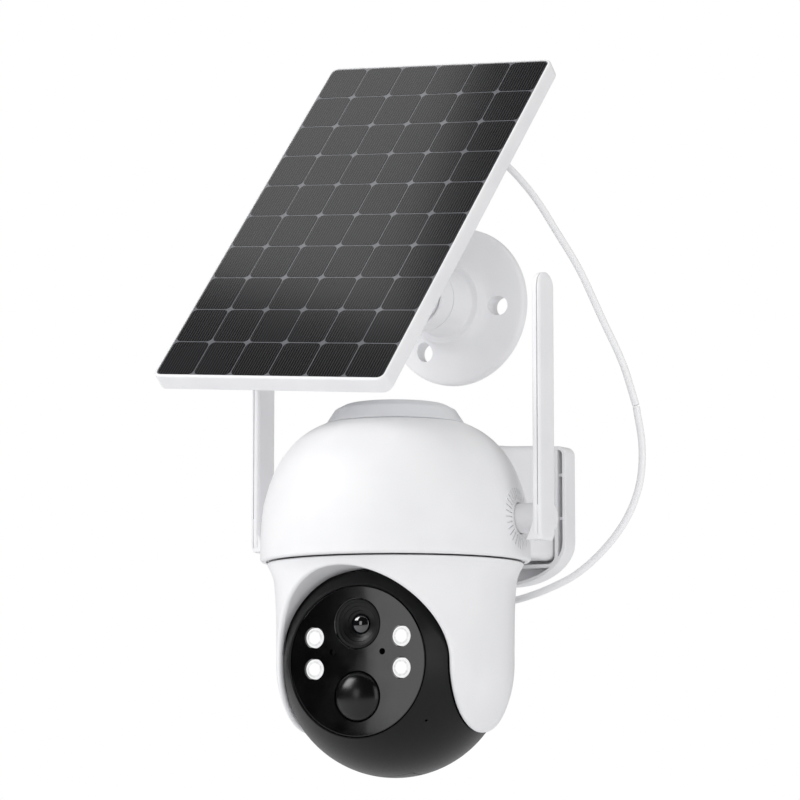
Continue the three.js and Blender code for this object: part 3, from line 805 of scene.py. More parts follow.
# Screws, bearing, axles and cans: bright metal with fine lines.
STEEL = Turned("stainless steel, turned")
# The boards inside: deep green with lighter raised tracks.
BOARD = SolderMask("green solder mask")
# The boards behind the window: black, so that nothing shows through its pinholes.
DARK_BOARD = SolderMask("black solder mask", mask="#08090a", track="#101112")
# The cells: blue-black under glass, combed with fine dull silver lines.
CELLS = CellGlass("monocrystalline cells under glass", "solar_cells")
# The eye's face: a black mirror with sharp reflections.
WINDOW = Glossy("black acrylic, polished", "gloss_window")
# The motion sensor's dome: black with a milky, blurred highlight.
PIR_DOME = Glossy("smoked polyethylene", "gloss_window", colour="#0b0b0c", roughness=0.2, haze=0.06, coat=0.0)
# The main lens: blue-black and very sharp.
LENS = Glossy("coated optical glass", "lens_glass", colour="#070b14", roughness=0.02, haze=0.01, ior=1.7,
              coat=1.0)
# The four lamps: plain white light behind frosted plastic.
LAMP = Lit("frosted acrylic, lit", "lamp_lens")


# ---------------------------------------------------------------- sub-assemblies


@dataclass
class Layout:
    """Where each sub-assembly's own frame lies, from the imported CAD."""

    joints: dict[str, dict[str, Any]]
    housing_radius: float = 57.7
    panel_tilt: float = 51.7

    def hinge(self, name: str) -> tuple[Vector, Vector]:
        """A joint's point and axis."""
        joint = self.joints[name]
        return Vector(joint["pos_m"]), Vector(joint["axis"])

    def housing(self) -> Matrix:
        """Body axis at the housing's rim."""
        low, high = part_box("upper_housing")
        at = Vector(((low[0] + high[0]) / 2, low[1] + self.housing_radius * MM, low[2]))
        return Matrix.Translation(at) @ Matrix.Scale(MM, 4)

    def eye(self) -> Matrix:
        """Centre of the eye, +X along its tilt axis."""
        at, axis = self.hinge("eye_tilt")
        turn = Matrix.Rotation(math.atan2(axis.y, axis.x), 4, "Z")
        return Matrix.Translation(at) @ turn @ Matrix.Scale(MM, 4)

    def panel(self) -> Matrix:
        """Centre of the ball joint, +Z along the panel's normal and +Y up the panel."""
        at, axis = self.hinge("panel_tilt")
        swivel = Matrix.Rotation(-math.atan2(axis.z, axis.x), 4, "Y")
        tilt = Matrix.Rotation(math.radians(self.panel_tilt), 4, "X")
        return Matrix.Translation(at) @ swivel @ tilt @ Matrix.Scale(MM, 4)

    def flange(self) -> Matrix:
        """Centre of the flange's back on the wall."""
        at, _ = self.hinge("panel_turn")
        return Matrix.Translation((at.x, 0, at.z)) @ Matrix.Scale(MM, 4)


def settle(piece: Piece, place: Matrix, name: str, finish: Finish, body: str, *nodes: str) -> Piece:
    """Places a finished piece in the frame and hands it to its body.

    Args:
        piece: the piece, drawn in millimetres in its own frame.
        place: that frame.
        name: the piece's name.
        finish: its material.
        body: the CAD body that it moves with.
        nodes: the CAD nodes that it stands for.

    Returns:
        The piece.
    """
    piece.name = piece.data.name = name
    made = bmesh.new()
    made.from_mesh(piece.data)
    bmesh.ops.remove_doubles(made, verts=made.verts, dist=1e-4)
    bmesh.ops.dissolve_degenerate(made, edges=made.edges, dist=1e-4)
    bmesh.ops.recalc_face_normals(made, faces=made.faces)
    for face in made.faces:
        face.smooth = True
    for edge in made.edges:
        edge.smooth = len(edge.link_faces) == 2 and edge.calc_face_angle(0) < SOFT_EDGE
    made.to_mesh(piece.data)
    made.free()
    piece.data.transform(place)
    flat = piece.modifiers.new("flat faces stay flat", "WEIGHTED_NORMAL")
    flat.keep_sharp = True
    bake(piece)
    piece.data.name = name
    piece.data.materials.clear()
    piece.data.materials.append(finish.material())
    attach(piece, body)
    if nodes:
        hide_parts(*nodes)
    log.info("%s: %d faces on %s", name, len(piece.data.polygons), body)
    return piece


def dress(nodes: dict[str, Piece], finish: Finish, *names: str) -> None:
    """Gives CAD nodes that stay as they are a finish.

    Args:
        nodes: all CAD nodes by name.
        finish: the finish.
        names: the nodes that take it.
    """
    for name in names:
        mesh = nodes[name].data
        mesh.materials.clear()
        mesh.materials.append(finish.material())
        log.info("%s: CAD piece in %s", name, finish.name)


@dataclass
class Housing:
    """Domed housing with its arm, cap and antennas' angle marks."""

    layout: Layout
    radius: float = 57.7
    top: float = 58.9
    wall: float = 2.4
    arm_half_width: float = 36.0
    arm_low: float = 4.4
    arm_back: float = 80.4
    arm_corner: float = 3.2
    arm_top_front: float = 50.2
    arm_top_back: float = 55.8
    arm_flare: float = 3.2
    pivot_y: float = 8.0
    pivot_z: float = 17.0
    axle_hole: float = 6.8
    marks: int = 30
    mark_circle: float = 10.7
    mark_size: tuple[float, float, float] = (4.8, 0.62, 16.0)
    mark_depth: float = 0.7
    cap_hole: float = 20.0
    cable_hole: float = 2.2
    cable_exit: tuple[float, float] = (4.0, 65.5)

    def dome_line(self, inward: float = 0.0) -> Outline:
        """The dome's outer line from the rim up, or moved inward.

        Args:
            inward: how far it is moved.

        Returns:
            Radii and heights.
        """
        through = [(57.7, 7), (57.1, 18), (56.1, 25), (54.3, 31.5), (51.9, 38), (48.7, 44), (42.4, 51.6),
                   (36.6, 56), (30.9, 58.9)]
        curve = [(p.x, p.y) for p in smooth_line([(r, z, 0) for r, z in through], 1.2)]
        rim = filleted([(0, 0), (self.radius, 0, 1.3), (self.radius, 7)], 6)
        line = rim[:-1] + curve
        return [(max(r - inward, 0), z - inward * (z > 50)) for r, z in line]

    def solid(self) -> Piece:
        """Closed dome."""
        return lathe([*self.dome_line(), (0, self.top)], steps=144)

    def arm(self, margin: float, start: float) -> Piece:
        """The arm, smaller by margin all round. Its top climbs to the wall, and it flares at the dome.

        Args:
            margin: how much smaller it is.
            start: how far behind the dome's axis it starts.

        Returns:
            The object.
        """
        end, rings = self.arm_back - margin, []
        for i in range(25):
            back = start + (end - start) * i / 24
            flare = self.arm_flare * max(0.0, 1 - max(back - 14, 0) / 34) ** 2
            climb = max(back - 24, 0) / (self.arm_back - 24)
            rise = (self.arm_top_back - self.arm_top_front) * climb
            high = self.arm_top_front + rise - margin + 0.4 * flare
            low, width = self.arm_low + margin, 2 * (self.arm_half_width - margin + flare)
            outline = rounded_rect(width, high - low, self.arm_corner - margin, 0, (low + high) / 2)
            rings.append([Turn.BACK.value @ Vector((x, z, back)) for x, z in outline])
        return loft(rings)

    def angle_marks(self, side: int) -> Piece:
        """Engraving tool for the marks round an antenna's pivot: bars, less the dome a little smaller.

        Args:
            side: 1 for the right, -1 for the left.

        Returns:
            The object.
        """
        bars = ring_of_bars(self.marks, self.mark_circle, self.mark_size, GREY.material())
        bars.data.transform(Matrix.Translation((55 * side, self.pivot_y, self.pivot_z)) @ Turn.RIGHT.value)
        core = lathe([(0, -5), (self.radius - self.mark_depth, -5), *self.dome_line(self.mark_depth)[7:],
                      (0, 58)], steps=144)
        return combine(bars, Join.CUT, core)

    def build(self) -> None:
        """Makes the shell and the cap."""
        place = self.layout.housing()
        shell = combine(self.solid(), Join.ADD, self.arm(0, 8))
        inner = [(0, 56.5), (28, 56.5), (33.5, 55), (40, 50), (46, 43), (51.6, 31.5), (54.6, 18), (54.6, 7.5),
                 (51.5, 6.2), (51.5, 4.4), (55.2, 4.4), (55.2, -5), (0, -5)]
        combine(shell, Join.CUT, lathe(inner), self.arm(self.wall, 40), rod(self.cap_hole, 50, 70),
                rod(self.cable_hole, 0, 9, at=(*self.cable_exit, 0)))
        for side in (-1, 1):
            combine(shell, Join.CUT, side_rod(self.axle_hole, 49, 64, side, (0, self.pivot_y, self.pivot_z)),
                    self.angle_marks(side))
        settle(shell, place, "housing_shell", WHITE, "wall_unit", "upper_housing")
        cap = [(0, 64.6), (17.6, 64.6), (17.6, 56.6), (19.6, 56.6), (19.6, 59.2), (29.8, 59.2, 0.5),
               (25.9, 65.2, 2.2), (21.0, 67.7, 6), (0, 68.8)]
        settle(lathe(filleted(cap), steps=144), place, "housing_cap", GREY, "wall_unit", "top_cap")


@dataclass
class Bracket:
    """Wall bracket: a shallow tray with ribs round the arm's socket."""

    half_width: float = 42.5
    low: float = -31.5
    high: float = 29.8
    depth: float = 9.4
    floor: float = 3.0
    wall: float = 1.6
    socket_half_width: float = 36.9
    socket_low: float = -22.2
    socket_corner: float = 3.6
    rib_heights: tuple[float, float] = (17.1, -2.2)
    top_corner: float = 4.0
    sweep_width: float = 30.0
    sweep_height: float = 19.0
    screw_hole: float = 2.2
    screw_x: float = 24.0
    screw_heights: tuple[float, float] = (20.0, -12.0)

    def outline(self, margin: float) -> Outline:
        """The tray's outline, moved inwards: square at the top, with a wide sweep at each lower corner.

        Args:
            margin: how far it is moved.

        Returns:
            The outline.
        """
        w, low, high, corner = self.half_width, self.low, self.high, self.top_corner
        x, z = self.sweep_width, self.sweep_height

        def sweep(side: int, start: float) -> Outline:
            """A quarter of an ellipse at a lower corner."""
            return [(side * (w - x) + px * x, low + z + py * z)
                    for px, py in arc((0, 0), 1, start, start + 90, 20)]

        right = arc((w - corner, high - corner), corner, 0, 90, 8)
        left = arc((corner - w, high - corner), corner, 90, 180, 8)
        line = right + left + sweep(-1, 180) + sweep(1, 270)
        return inset(line, margin) if margin else line

    def socket(self, margin: float) -> Outline:
        """Outline of the socket, wider by margin and open past the top of the tray."""
        return rounded_rect(2 * (self.socket_half_width + margin), 80, self.socket_corner + margin, 0,
                            self.socket_low - margin + 40)

    def build(self) -> None:
        """Makes the bracket."""
        tray = prism(self.outline(0), -self.depth, 0, 0.6, Turn.BACK)
        combine(tray, Join.CUT, prism(self.outline(self.wall), -self.depth - 1, -self.floor, 0, Turn.BACK))
        lining = prism(self.socket(self.wall), -self.depth, -1, 0, Turn.BACK)
        for z in self.rib_heights:
            combine(lining, Join.ADD, block((-42, 2 - self.depth, z - 0.7), (42, -1, z + 0.7)))
        combine(lining, Join.KEEP, prism(self.outline(0.4), -self.depth, -0.2, 0, Turn.BACK))
        combine(tray, Join.ADD, lining)
        combine(tray, Join.CUT, prism(self.socket(0), -self.depth - 1, -self.floor, 0, Turn.BACK),
                block((-self.socket_half_width, -self.depth - 1, 18),
                      (self.socket_half_width, -self.floor, 40)))
        for z in self.screw_heights:
            for x in (-self.screw_x, self.screw_x):
                combine(tray, Join.CUT, rod(self.screw_hole, -5, 1, Turn.BACK, (x, 0, z)))
        settle(tray, Matrix.Scale(MM, 4), "bracket_tray", WHITE, "wall_unit", "wall_bracket")


@dataclass
class Antenna:
    """Flat folding antenna with a flared foot and a round pivot."""

    layout: Layout
    x: float = 70.1
    y: float = 8.0
    ahead: float = 4.5  # from the pivot to the blade's middle
    axle: float = 6.3
    z: float = 17.0
    width: float = 13.2
    thick: float = 4.2
    low: float = -10.2
    high: float = 103.0
    corner: float = 3.4

    def outline(self, y: float) -> Outline:
        """The blade's outline about y: round at the top, with small corners at the foot.

        Args:
            y: the blade's middle.

        Returns:
            The outline.
        """
        w, c = self.width / 2, self.corner
        line = arc((y, self.high - w), w - 0.01, 0, 180, 24) + arc((y + c - w, self.low + c), c, 180, 270, 8)
        return line + arc((y + w - c, self.low + c), c, 270, 360, 8)

    def blade(self, middle: float) -> Piece:
        """Blade with soft edges, and a parting line round its outer face.

        Args:
            middle: Y of the blade's middle.

        Returns:
            The object.
        """
        outline = self.outline(middle)
        a, b = self.x - self.thick / 2, self.x + self.thick / 2
        levels = [(a, 1.3), (a + 0.25, 0.7), (a + 0.7, 0.25), (a + 1.2, 0.05), (a + 1.8, 0), (b - 1.75, 0),
                  (b - 1.72, 0.9),
                  (b - 1.2, 0.9), (b - 1.17, 0.02), (b - 0.7, 0.1), (b - 0.3, 0.5), (b - 0.08, 1.0), (b, 1.6)]
        rings = [[Turn.RIGHT.value @ Vector((y, z, x)) for y, z in inset(outline, side)]
                 for x, side in levels]
        return loft(rings)

    def foot(self, middle: float) -> Piece:
        """Foot that flares towards the housing.

        Args:
            middle: Y of the blade's middle.

        Returns:
            The object.
        """
        inner = self.x - self.thick / 2
        rings = []
        for i in range(9):
            height = self.low + 0.4 + (4 - self.low) * i / 8
            flare = 4.1 * (1 - i / 8) ** 2.2
            half = 0.98 * self.width / 2 * (1 - 0.06 * (1 - i / 8))
            across = inner + 0.6 + (self.thick - 1.2 - flare) / 2
            outline = rounded_rect(self.thick - 1.2 + flare, 2 * half, 1.0, across, middle)
            rings.append([(x, y, height) for x, y in outline])
        return loft(rings)

    def build(self) -> None:
        """Makes both antennas."""
        for side, name in ((1, "right"), (-1, "left")):
            hinge = self.layout.housing() @ Matrix.Translation((0, self.y, self.z))
            if side < 0:
                hinge = hinge @ Matrix.Rotation(math.pi, 4, "Z")
            middle = -self.ahead * side
            piece = combine(self.blade(middle), Join.ADD, self.foot(middle))
            combine(piece, Join.ADD, rod(self.axle, 50.6, self.x + 1.2, Turn.RIGHT, edge=0.5))
            body = f"antenna_{name}"
            settle(piece, hinge, f"{name}_antenna_blade", WHITE, body, body)


@dataclass
class Yoke:
    """Panning head: a collar and two arms round a slot with an arched top."""

    layout: Layout
    radius: float = 50.6
    arch: float = 39.0
    fillet: float = 1.5
    drop: float = 43.3
    room: float = 48.7
    top: float = -0.55
    gear_room: float = 24.0
    axle_hole: float = 6.3
    hub: float = 13.4
    hub_bore: float = 6.0

    def line(self) -> Outline:
        """Outer line from the deck down to the eye's level."""
        through = [(54.5, -1.7), (53.1, -4.2), (51.9, -7.8), (51.3, -13), (50.9, -20), (self.radius, -38),
                   (self.radius, -self.drop)]
        return [(p.x, p.y) for p in smooth_line([(r, z, 0) for r, z in through], 1.0)]

    def radius_at(self, height: float) -> float:
        """Outer radius at a height above the eye's centre.

        Args:
            height: the height.

        Returns:
            The radius.
        """
        line = self.line()
        for (r0, z0), (r1, z1) in zip(line, line[1:]):
            if z1 <= height - self.drop <= z0:
                return r1 + (r0 - r1) * (height - self.drop - z1) / max(z0 - z1, 1e-6)
        return self.radius if height < 1 else line[0][0]

    def arch_tool(self) -> Piece:
        """Tool for the arched top of the slot, flared so that it leaves a round edge on the outer face."""
        f, rings = self.fillet, []
        for i in range(73):
            angle = math.radians(-4 + 188 * i / 72)
            c, s = math.cos(angle), math.sin(angle)

            def face(rho: float) -> float:
                """Depth of the outer face at a distance from the arch's axis."""
                return math.sqrt(max(self.radius_at(max(rho * s, 0)) ** 2 - (rho * c) ** 2, 1.0))

            slope = (face(self.arch + f + 0.2) - face(self.arch + f - 0.2)) / 0.4
            depth = face(self.arch + f) - f * math.hypot(1, slope)
            last = math.degrees(math.atan2(1, -slope))
            edge = arc((self.arch + f, depth), f, 180, last, 8)
            normal = Vector((-slope, 1)).normalized()
            edge.append(tuple(Vector(edge[-1]) + 4 * normal))
            half = [(self.arch, 0.0), *edge, (edge[-1][0], 70.0), (0.5, 70.0)]
            section = [(r, -y) for r, y in reversed(half)] + half[1:]
            rings.append([(r * c, y, r * s) for r, y in section])
        return loft(rings)

    def slot_tool(self) -> Piece:
        """Tool for the open slot below the arch, flared the same way round the arms' rims."""
        f = self.fillet
        rho = math.sqrt((self.radius - f) ** 2 - (self.arch + f) ** 2)
        last = math.degrees(math.atan2(rho, self.arch + f))
        edge = [(y, x) for x, y in arc((self.arch + f, rho), f, 180, last, 8)]
        out = Vector((rho, self.arch + f)).normalized()
        edge.append(tuple(Vector(edge[-1]) + 30 * out))
        half = [(0.0, self.arch), (rho, self.arch), *edge[1:]]
        tool = lathe([(r, -x) for r, x in half] + [(95.0, 0.0)] + [(r, x) for r, x in reversed(half)],
                     Turn.RIGHT)
        return combine(tool, Join.KEEP, block((-100, -100, -100), (100, 100, 0.02)))

    def swept_room(self) -> Piece:
        """The room in which the eye turns: its ball, and only its drum in the sector above."""
        side = self.arch - 0.1
        fan = [(0.0, 0.0), *arc((0, 0), 90, 180 - 126.1, 180 - 53.9, 8)]
        above = prism(fan, -60, 60, 0, Turn.RIGHT)
        combine(above, Join.CUT, rod(self.arch, -61, 61, Turn.RIGHT, steps=128))
        room = combine(lathe(arc((0, 0), self.room, -90, 90, 48)), Join.CUT, above)
        return combine(room, Join.KEEP, block((-side, -70, -70), (side, 70, 70)))

    def build(self) -> None:
        """Makes the yoke."""
        place = self.layout.eye()
        collar = filleted([(0, self.top), (54.7, self.top, 0.4), (54.6, -1.5)], 3)
        bowl = [(r, z - self.drop) for r, z in arc((0, 0), self.radius, 0, -60, 40)]
        line = [(r, z + self.drop) for r, z in [*collar[:-1], *self.line(), *bowl[1:], (0, bowl[-1][1])]]
        shell = lathe(line, steps=160)
        combine(shell, Join.CUT, self.arch_tool(), self.slot_tool(), self.swept_room(),
                rod(1.5, -60, 60, Turn.BACK))
        for side in (-1, 1):
            combine(shell, Join.CUT, side_rod(self.gear_room, 38, 43.4, side),
                    side_rod(self.axle_hole, 43, 46, side))
        combine(shell, Join.ADD, rod(self.hub, self.drop + self.top - 0.5, self.drop + 13))
        combine(shell, Join.CUT, rod(self.hub_bore, 30, 70))
        settle(shell, place, "yoke_casting", WHITE, "head", "yoke_shell")


@dataclass
class Eye:
    """Ball eye with its window, lenses, lamps and service door."""

    layout: Layout
    radius: float = 48.0
    half_width: float = 38.4
    drum: float = 38.2
    face: float = -35.6
    face_radius: float = 31.6
    lens_z: float = 15.6
    motion_z: float = -14.6
    lamp_x: float = 20.2
    lamp_heights: tuple[float, float] = (10.1, -3.0)
    split: float = 12.0
    opening: float = 10.8
    lamp_hole: float = 4.5
    lamp: float = 4.2
    pinhole: float = 1.35
    pinhole_x: float = 11.6
    pinhole_z: float = 3.9
    door: tuple[float, float] = (12.0, 8.0)

    def ball(self, radius: float, front: float, side: float, drum: float, start: float, end: float) -> Piece:
        """A ball cut flat at its front and sides, and down to a drum over a sector above and behind.

        Args:
            radius: the ball's.
            front: Y of the flat front.
            side: half the width between the flat sides.
            drum: the drum's radius.
            start, end: the sector, in degrees from the front, over the top.

        Returns:
            The object.
        """
        meet = math.degrees(math.asin(front / radius))
        solid = lathe([(0, front), *arc((0, 0), radius, meet, 90, 72)], Turn.BACK, steps=144)
        fan = [(0.0, 0.0), *[(-y, z) for y, z in arc((0, 0), 90, start, end, 16)]]
        cut = prism(list(reversed(fan)), -60, 60, 0, Turn.RIGHT)
        combine(cut, Join.CUT, rod(drum, -61, 61, Turn.RIGHT, steps=128))
        combine(solid, Join.CUT, cut)
        return combine(solid, Join.KEEP, block((-side, -60, -60), (side, 60, 60)))

    def door_room(self, gap: float) -> Piece:
        """The service door's place under the ball, smaller by a gap all round."""
        x, y = self.door[0] - gap, self.door[1] - gap
        return block((-x, -y, -60), (x, y, -40))

    def shells(self) -> None:
        """Front and rear shells and the service door."""
        place = self.layout.eye()
        shell = self.ball(self.radius, self.face, self.half_width, self.drum, 52.7, 200)
        hollow = self.ball(self.radius - 2.6, -30.4, self.half_width - 2.4, self.drum - 2.4, 49.1, 203.6)
        recess = filleted([(0, -40), (32.15, -40), (32.15, self.face - 0.35),
                           (self.face_radius, self.face + 0.35),
                           (self.face_radius, self.face + 3.4), (0, self.face + 3.4)])
        combine(shell, Join.CUT, hollow, lathe(recess, Turn.BACK), rod(28.6, -36, -20, Turn.BACK))
        combine(shell, Join.CUT, rod(6.5, -60, 60, Turn.RIGHT))
        out = Vector((29.3, -29.7, -25.1)).normalized()
        hole = rod(0.6, 44, 50, steps=24)
        hole.data.transform(out.to_track_quat("Z", "Y").to_matrix().to_4x4())
        combine(shell, Join.CUT, hole)
        rear = copy_of(shell)
        combine(rear, Join.KEEP, block((-60, self.split + CLEAR, -60), (60, 60, 60)))
        combine(shell, Join.KEEP, block((-60, -60, -60), (60, self.split, 60)))
        combine(shell, Join.CUT, self.door_room(0))
        settle(shell, place, "eye_front", BLACK, "eye", "eye_front_shell")
        settle(rear, place, "eye_back", BLACK, "eye", "eye_rear_shell")
        door = lathe([*arc((0, 0), self.radius, -90, 90, 96), *arc((0, 0), self.radius - 2.2, 90, -90, 96)],
                     steps=144)
        combine(door, Join.KEEP, self.door_room(CLEAR))
        settle(door, place, "service_door", BLACK, "card_door", "card_door")

    def window(self) -> None:
        """Black window with its openings."""
        r, y = self.face_radius - CLEAR, self.face
        disc = lathe(filleted([(0, 0.15), (r, 0.15, 0.4), (r, 2.3), (0, 2.3)]), Turn.BACK, (0, y, 0), 144)
        for z in (self.lens_z, self.motion_z):
            side = self.opening
            rim = filleted([(0, -3), (side, -3), (side, 0.1), (side - 0.3, 0.4), (side - 0.3, 4), (0, 4)])
            combine(disc, Join.CUT, lathe(rim, Turn.BACK, (0, y, z)))
        for x in (-self.lamp_x, self.lamp_x):
            for z in self.lamp_heights:
                combine(disc, Join.CUT, rod(self.lamp_hole, -2, 5, Turn.BACK, (x, y, z), steps=48))
            combine(disc, Join.CUT, rod(self.pinhole, -2, 5, Turn.BACK,
                                        (math.copysign(self.pinhole_x, x), y, self.pinhole_z), steps=32))
        settle(disc, self.layout.eye(), "eye_window", WINDOW, "eye", "face_glass")

    def optics(self) -> None:
        """Lens barrel, lens, motion dome and lamps."""
        place, y = self.layout.eye(), self.face
        barrel = [(0, 5.2), (4.3, 5.2), (4.3, 3.4, 0.2), (5.6, 2.9, 0.2), (5.6, 2.2, 0.2), (7.4, 1.5, 0.3),
                  (7.4, 1.1, 0.2),
                  (8.9, 0.8, 0.2), (8.9, 0.35, 0.15), (10.3, 0.35, 0.3), (10.3, 3.6), (8.2, 4.6), (8.2, 16),
                  (0, 16)]
        settle(lathe(filleted(barrel, 4), Turn.BACK, (0, y, self.lens_z), 128), place, "main_lens_barrel",
               BLACK, "eye", "lens_barrel")
        glass = [(0, 2.0), *bulge(4.1, 1.6, 2.0, 10), (4.1, 4.4), (0, 4.4)]
        settle(lathe(glass, Turn.BACK, (0, y, self.lens_z)), place, "main_lens_glass", LENS, "eye",
               "lens_glass")
        dome = [(0, -3.4), *bulge(10.3, 4.6, -3.4, 18), (10.3, 4.6), (0, 4.6)]
        settle(lathe(dome, Turn.BACK, (0, y, self.motion_z), 128), place, "motion_dome", PIR_DOME, "eye",
               "motion_lens")
        lamp = filleted([(0, 0.3), (self.lamp, 0.45, 0.8), (self.lamp, 4.8), (0, 4.8)])
        places = [(x, z) for z in self.lamp_heights for x in (-self.lamp_x, self.lamp_x)]
        for number, (x, z) in enumerate(places, 1):
            piece = lathe(lamp, Turn.BACK, (x, y, z), 48)
            disc = piece.data.uv_layers.new(name="Disc")
            for loop in piece.data.loops:
                at = piece.data.vertices[loop.vertex_index].co
                disc.data[loop.index].uv = ((at.x - x) / self.lamp, (at.z - z) / self.lamp)
            settle(piece, place, f"lamp_{number}", LAMP, "eye", f"led_lens_{number}")

    def build(self) -> None:
        """Makes every visible piece of the eye."""
        self.shells()
        self.window()
        self.optics()


@dataclass
class PanelMount:
    """Wall flange, locking collar and ball stud of the solar panel."""

    layout: Layout
    radius: float = 36.0
    hole_radius: float = 4.4
    hole_circle: float = 24.5
    hole_angles: tuple[float, ...] = (-4, 116, 236)
    stud_top: float = 41.2

    def build(self) -> None:
        """Makes the three pieces."""
        place = self.layout.flange()
        dish = [(self.radius, 2.6), (35.2, 3.8), (31, 5.5), (26, 6.9), (22.0, 8.1), (19.6, 9.6), (18.4, 11.3),
                (18.0, 12.6)]
        curve = [(p.x, p.y) for p in smooth_line([(r, y, 0) for r, y in dish], 0.8)]
        shoulder = filleted([(18.0, 12.7), (17.9, 13.7, 0.7), (15.0, 14.3, 0.9), (14.3, 17.5, 3),
                             (13.9, 27.8)], 4)
        line = [(0, 0), (35.6, 0), (self.radius, 0.5), *curve, *shoulder[1:], (13.7, 28), (9.6, 28),
                (9.6, 18), (0, 18)]
        flange = lathe([(r, -y) for r, y in line], Turn.BACK, steps=144)
        for angle in self.hole_angles:
            at = (self.hole_circle * math.cos(math.radians(angle)), 0,
                  self.hole_circle * math.sin(math.radians(angle)))
            combine(flange, Join.CUT, rod(self.hole_radius, -20, 1, Turn.BACK, at))
        settle(flange, place, "mount_flange", WHITE, "wall_unit", "panel_flange")
        collar = filleted([(9.6, -32), (9.6, -28.3), (13.8, -28.3, 0.3), (13.8, -38.0, 0.7),
                           (12.7, -38.4, 0.2),
                           (12.6, -37.2), (11.9, -37.2), (11.8, -38.4, 0.2), (9.25, -38.4, 0.2),
                           (9.25, -37.6), (9.6, -36.5), (9.6, -32)])
        settle(lathe(collar, Turn.BACK), place, "ball_collar", WHITE, "wall_unit", "locking_collar")
        stem = filleted([(0, -9), (0.01, -9), (4.4, 7.85), (4.4, 14, 12), (6.2, 30, 14), (13.6, 37.2, 3),
                         (13.8, self.stud_top, 0.4), (0, self.stud_top)])
        ball = arc((0, 0), 9, -90, 60.7, 32)
        stud = lathe([*ball, *[p for p in stem if p[1] > 7.9]])
        settle(stud, self.layout.panel(), "ball_stud_stem", WHITE, "solar_panel", "ball_stud")


@dataclass
class SolarPanel:
    """Framed laminate of cells, back cover and junction box."""

    layout: Layout
    width: float = 117.0
    length: float = 202.0
    low: float = 41.5
    high: float = 49.7
    x: float = -11.0
    y: float = 1.2
    corner: float = 4.0
    columns: int = 6
    rows: int = 10
    margin: float = 1.2
    cell_gap: float = 0.62
    cell_corner: float = 2.3
    cell_thick: float = 0.14
    box_at: tuple[float, float] = (-19.0, 54.0)
    box_size: tuple[float, float] = (40.0, 26.0)
    box_low: float = 31.3

    def outline(self, margin: float) -> Outline:
        """The panel's outline, moved inwards."""
        width, length = self.width - 2 * margin, self.length - 2 * margin
        return rounded_rect(width, length, self.corner - margin, self.x, self.y)

    def frame(self) -> None:
        """White frame with soft outer edges."""
        frame = prism(self.outline(0), self.low, self.high, 0.9)
        combine(frame, Join.CUT, prism(self.outline(self.margin), self.high - 3, self.high + 1))
        combine(frame, Join.CUT, prism(self.outline(1.8), self.low - 1, self.high - 4.6))
        settle(frame, self.layout.panel(), "panel_rim", WHITE, "solar_panel", "panel_frame")
        back = prism(self.outline(1.8 + CLEAR), self.low, self.low + 2, 0.3)
        settle(back, self.layout.panel(), "panel_back_cover", WHITE, "solar_panel", "panel_back")

    def laminate(self) -> None:
        """Grey sheet with the cells on it."""
        top = self.high - 0.2
        sheet = prism(self.outline(self.margin + CLEAR), self.high - 2.7, top - 0.12, 0.1)
        settle(sheet, self.layout.panel(), "cell_sheet", SHEET, "solar_panel", "solar_laminate")
        inner = self.margin + CLEAR + 0.25
        pitch = ((self.width - 2 * inner + self.cell_gap) / self.columns,
                 (self.length - 2 * inner + self.cell_gap) / self.rows)
        cells = cell_grid(self.columns, self.rows, pitch, self.cell_gap, self.cell_corner, self.cell_thick,
                          CELLS.material())
        flat = cells.data.uv_layers.new(name="Flat")
        for loop in cells.data.loops:
            at = cells.data.vertices[loop.vertex_index].co
            flat.data[loop.index].uv = (at.x, at.y)
        place = self.layout.panel() @ Matrix.Translation((self.x, self.y, top - 0.13))
        settle(cells, place, "solar_cells", CELLS, "solar_panel")

    def junction_box(self) -> None:
        """Box on the back where the cable leaves."""
        width, length = self.box_size
        lid = prism(rounded_rect(width, length, 4, *self.box_at), self.box_low, 41.2, 0.9)
        hollow = rounded_rect(width - 5, length - 5, 2, *self.box_at)
        combine(lid, Join.CUT, prism(hollow, self.box_low + 2.5, 42))
        settle(lid, self.layout.panel(), "junction_lid", WHITE, "solar_panel", "junction_box")

    def build(self) -> None:
        """Makes the panel."""
        self.frame()
        self.laminate()
        self.junction_box()


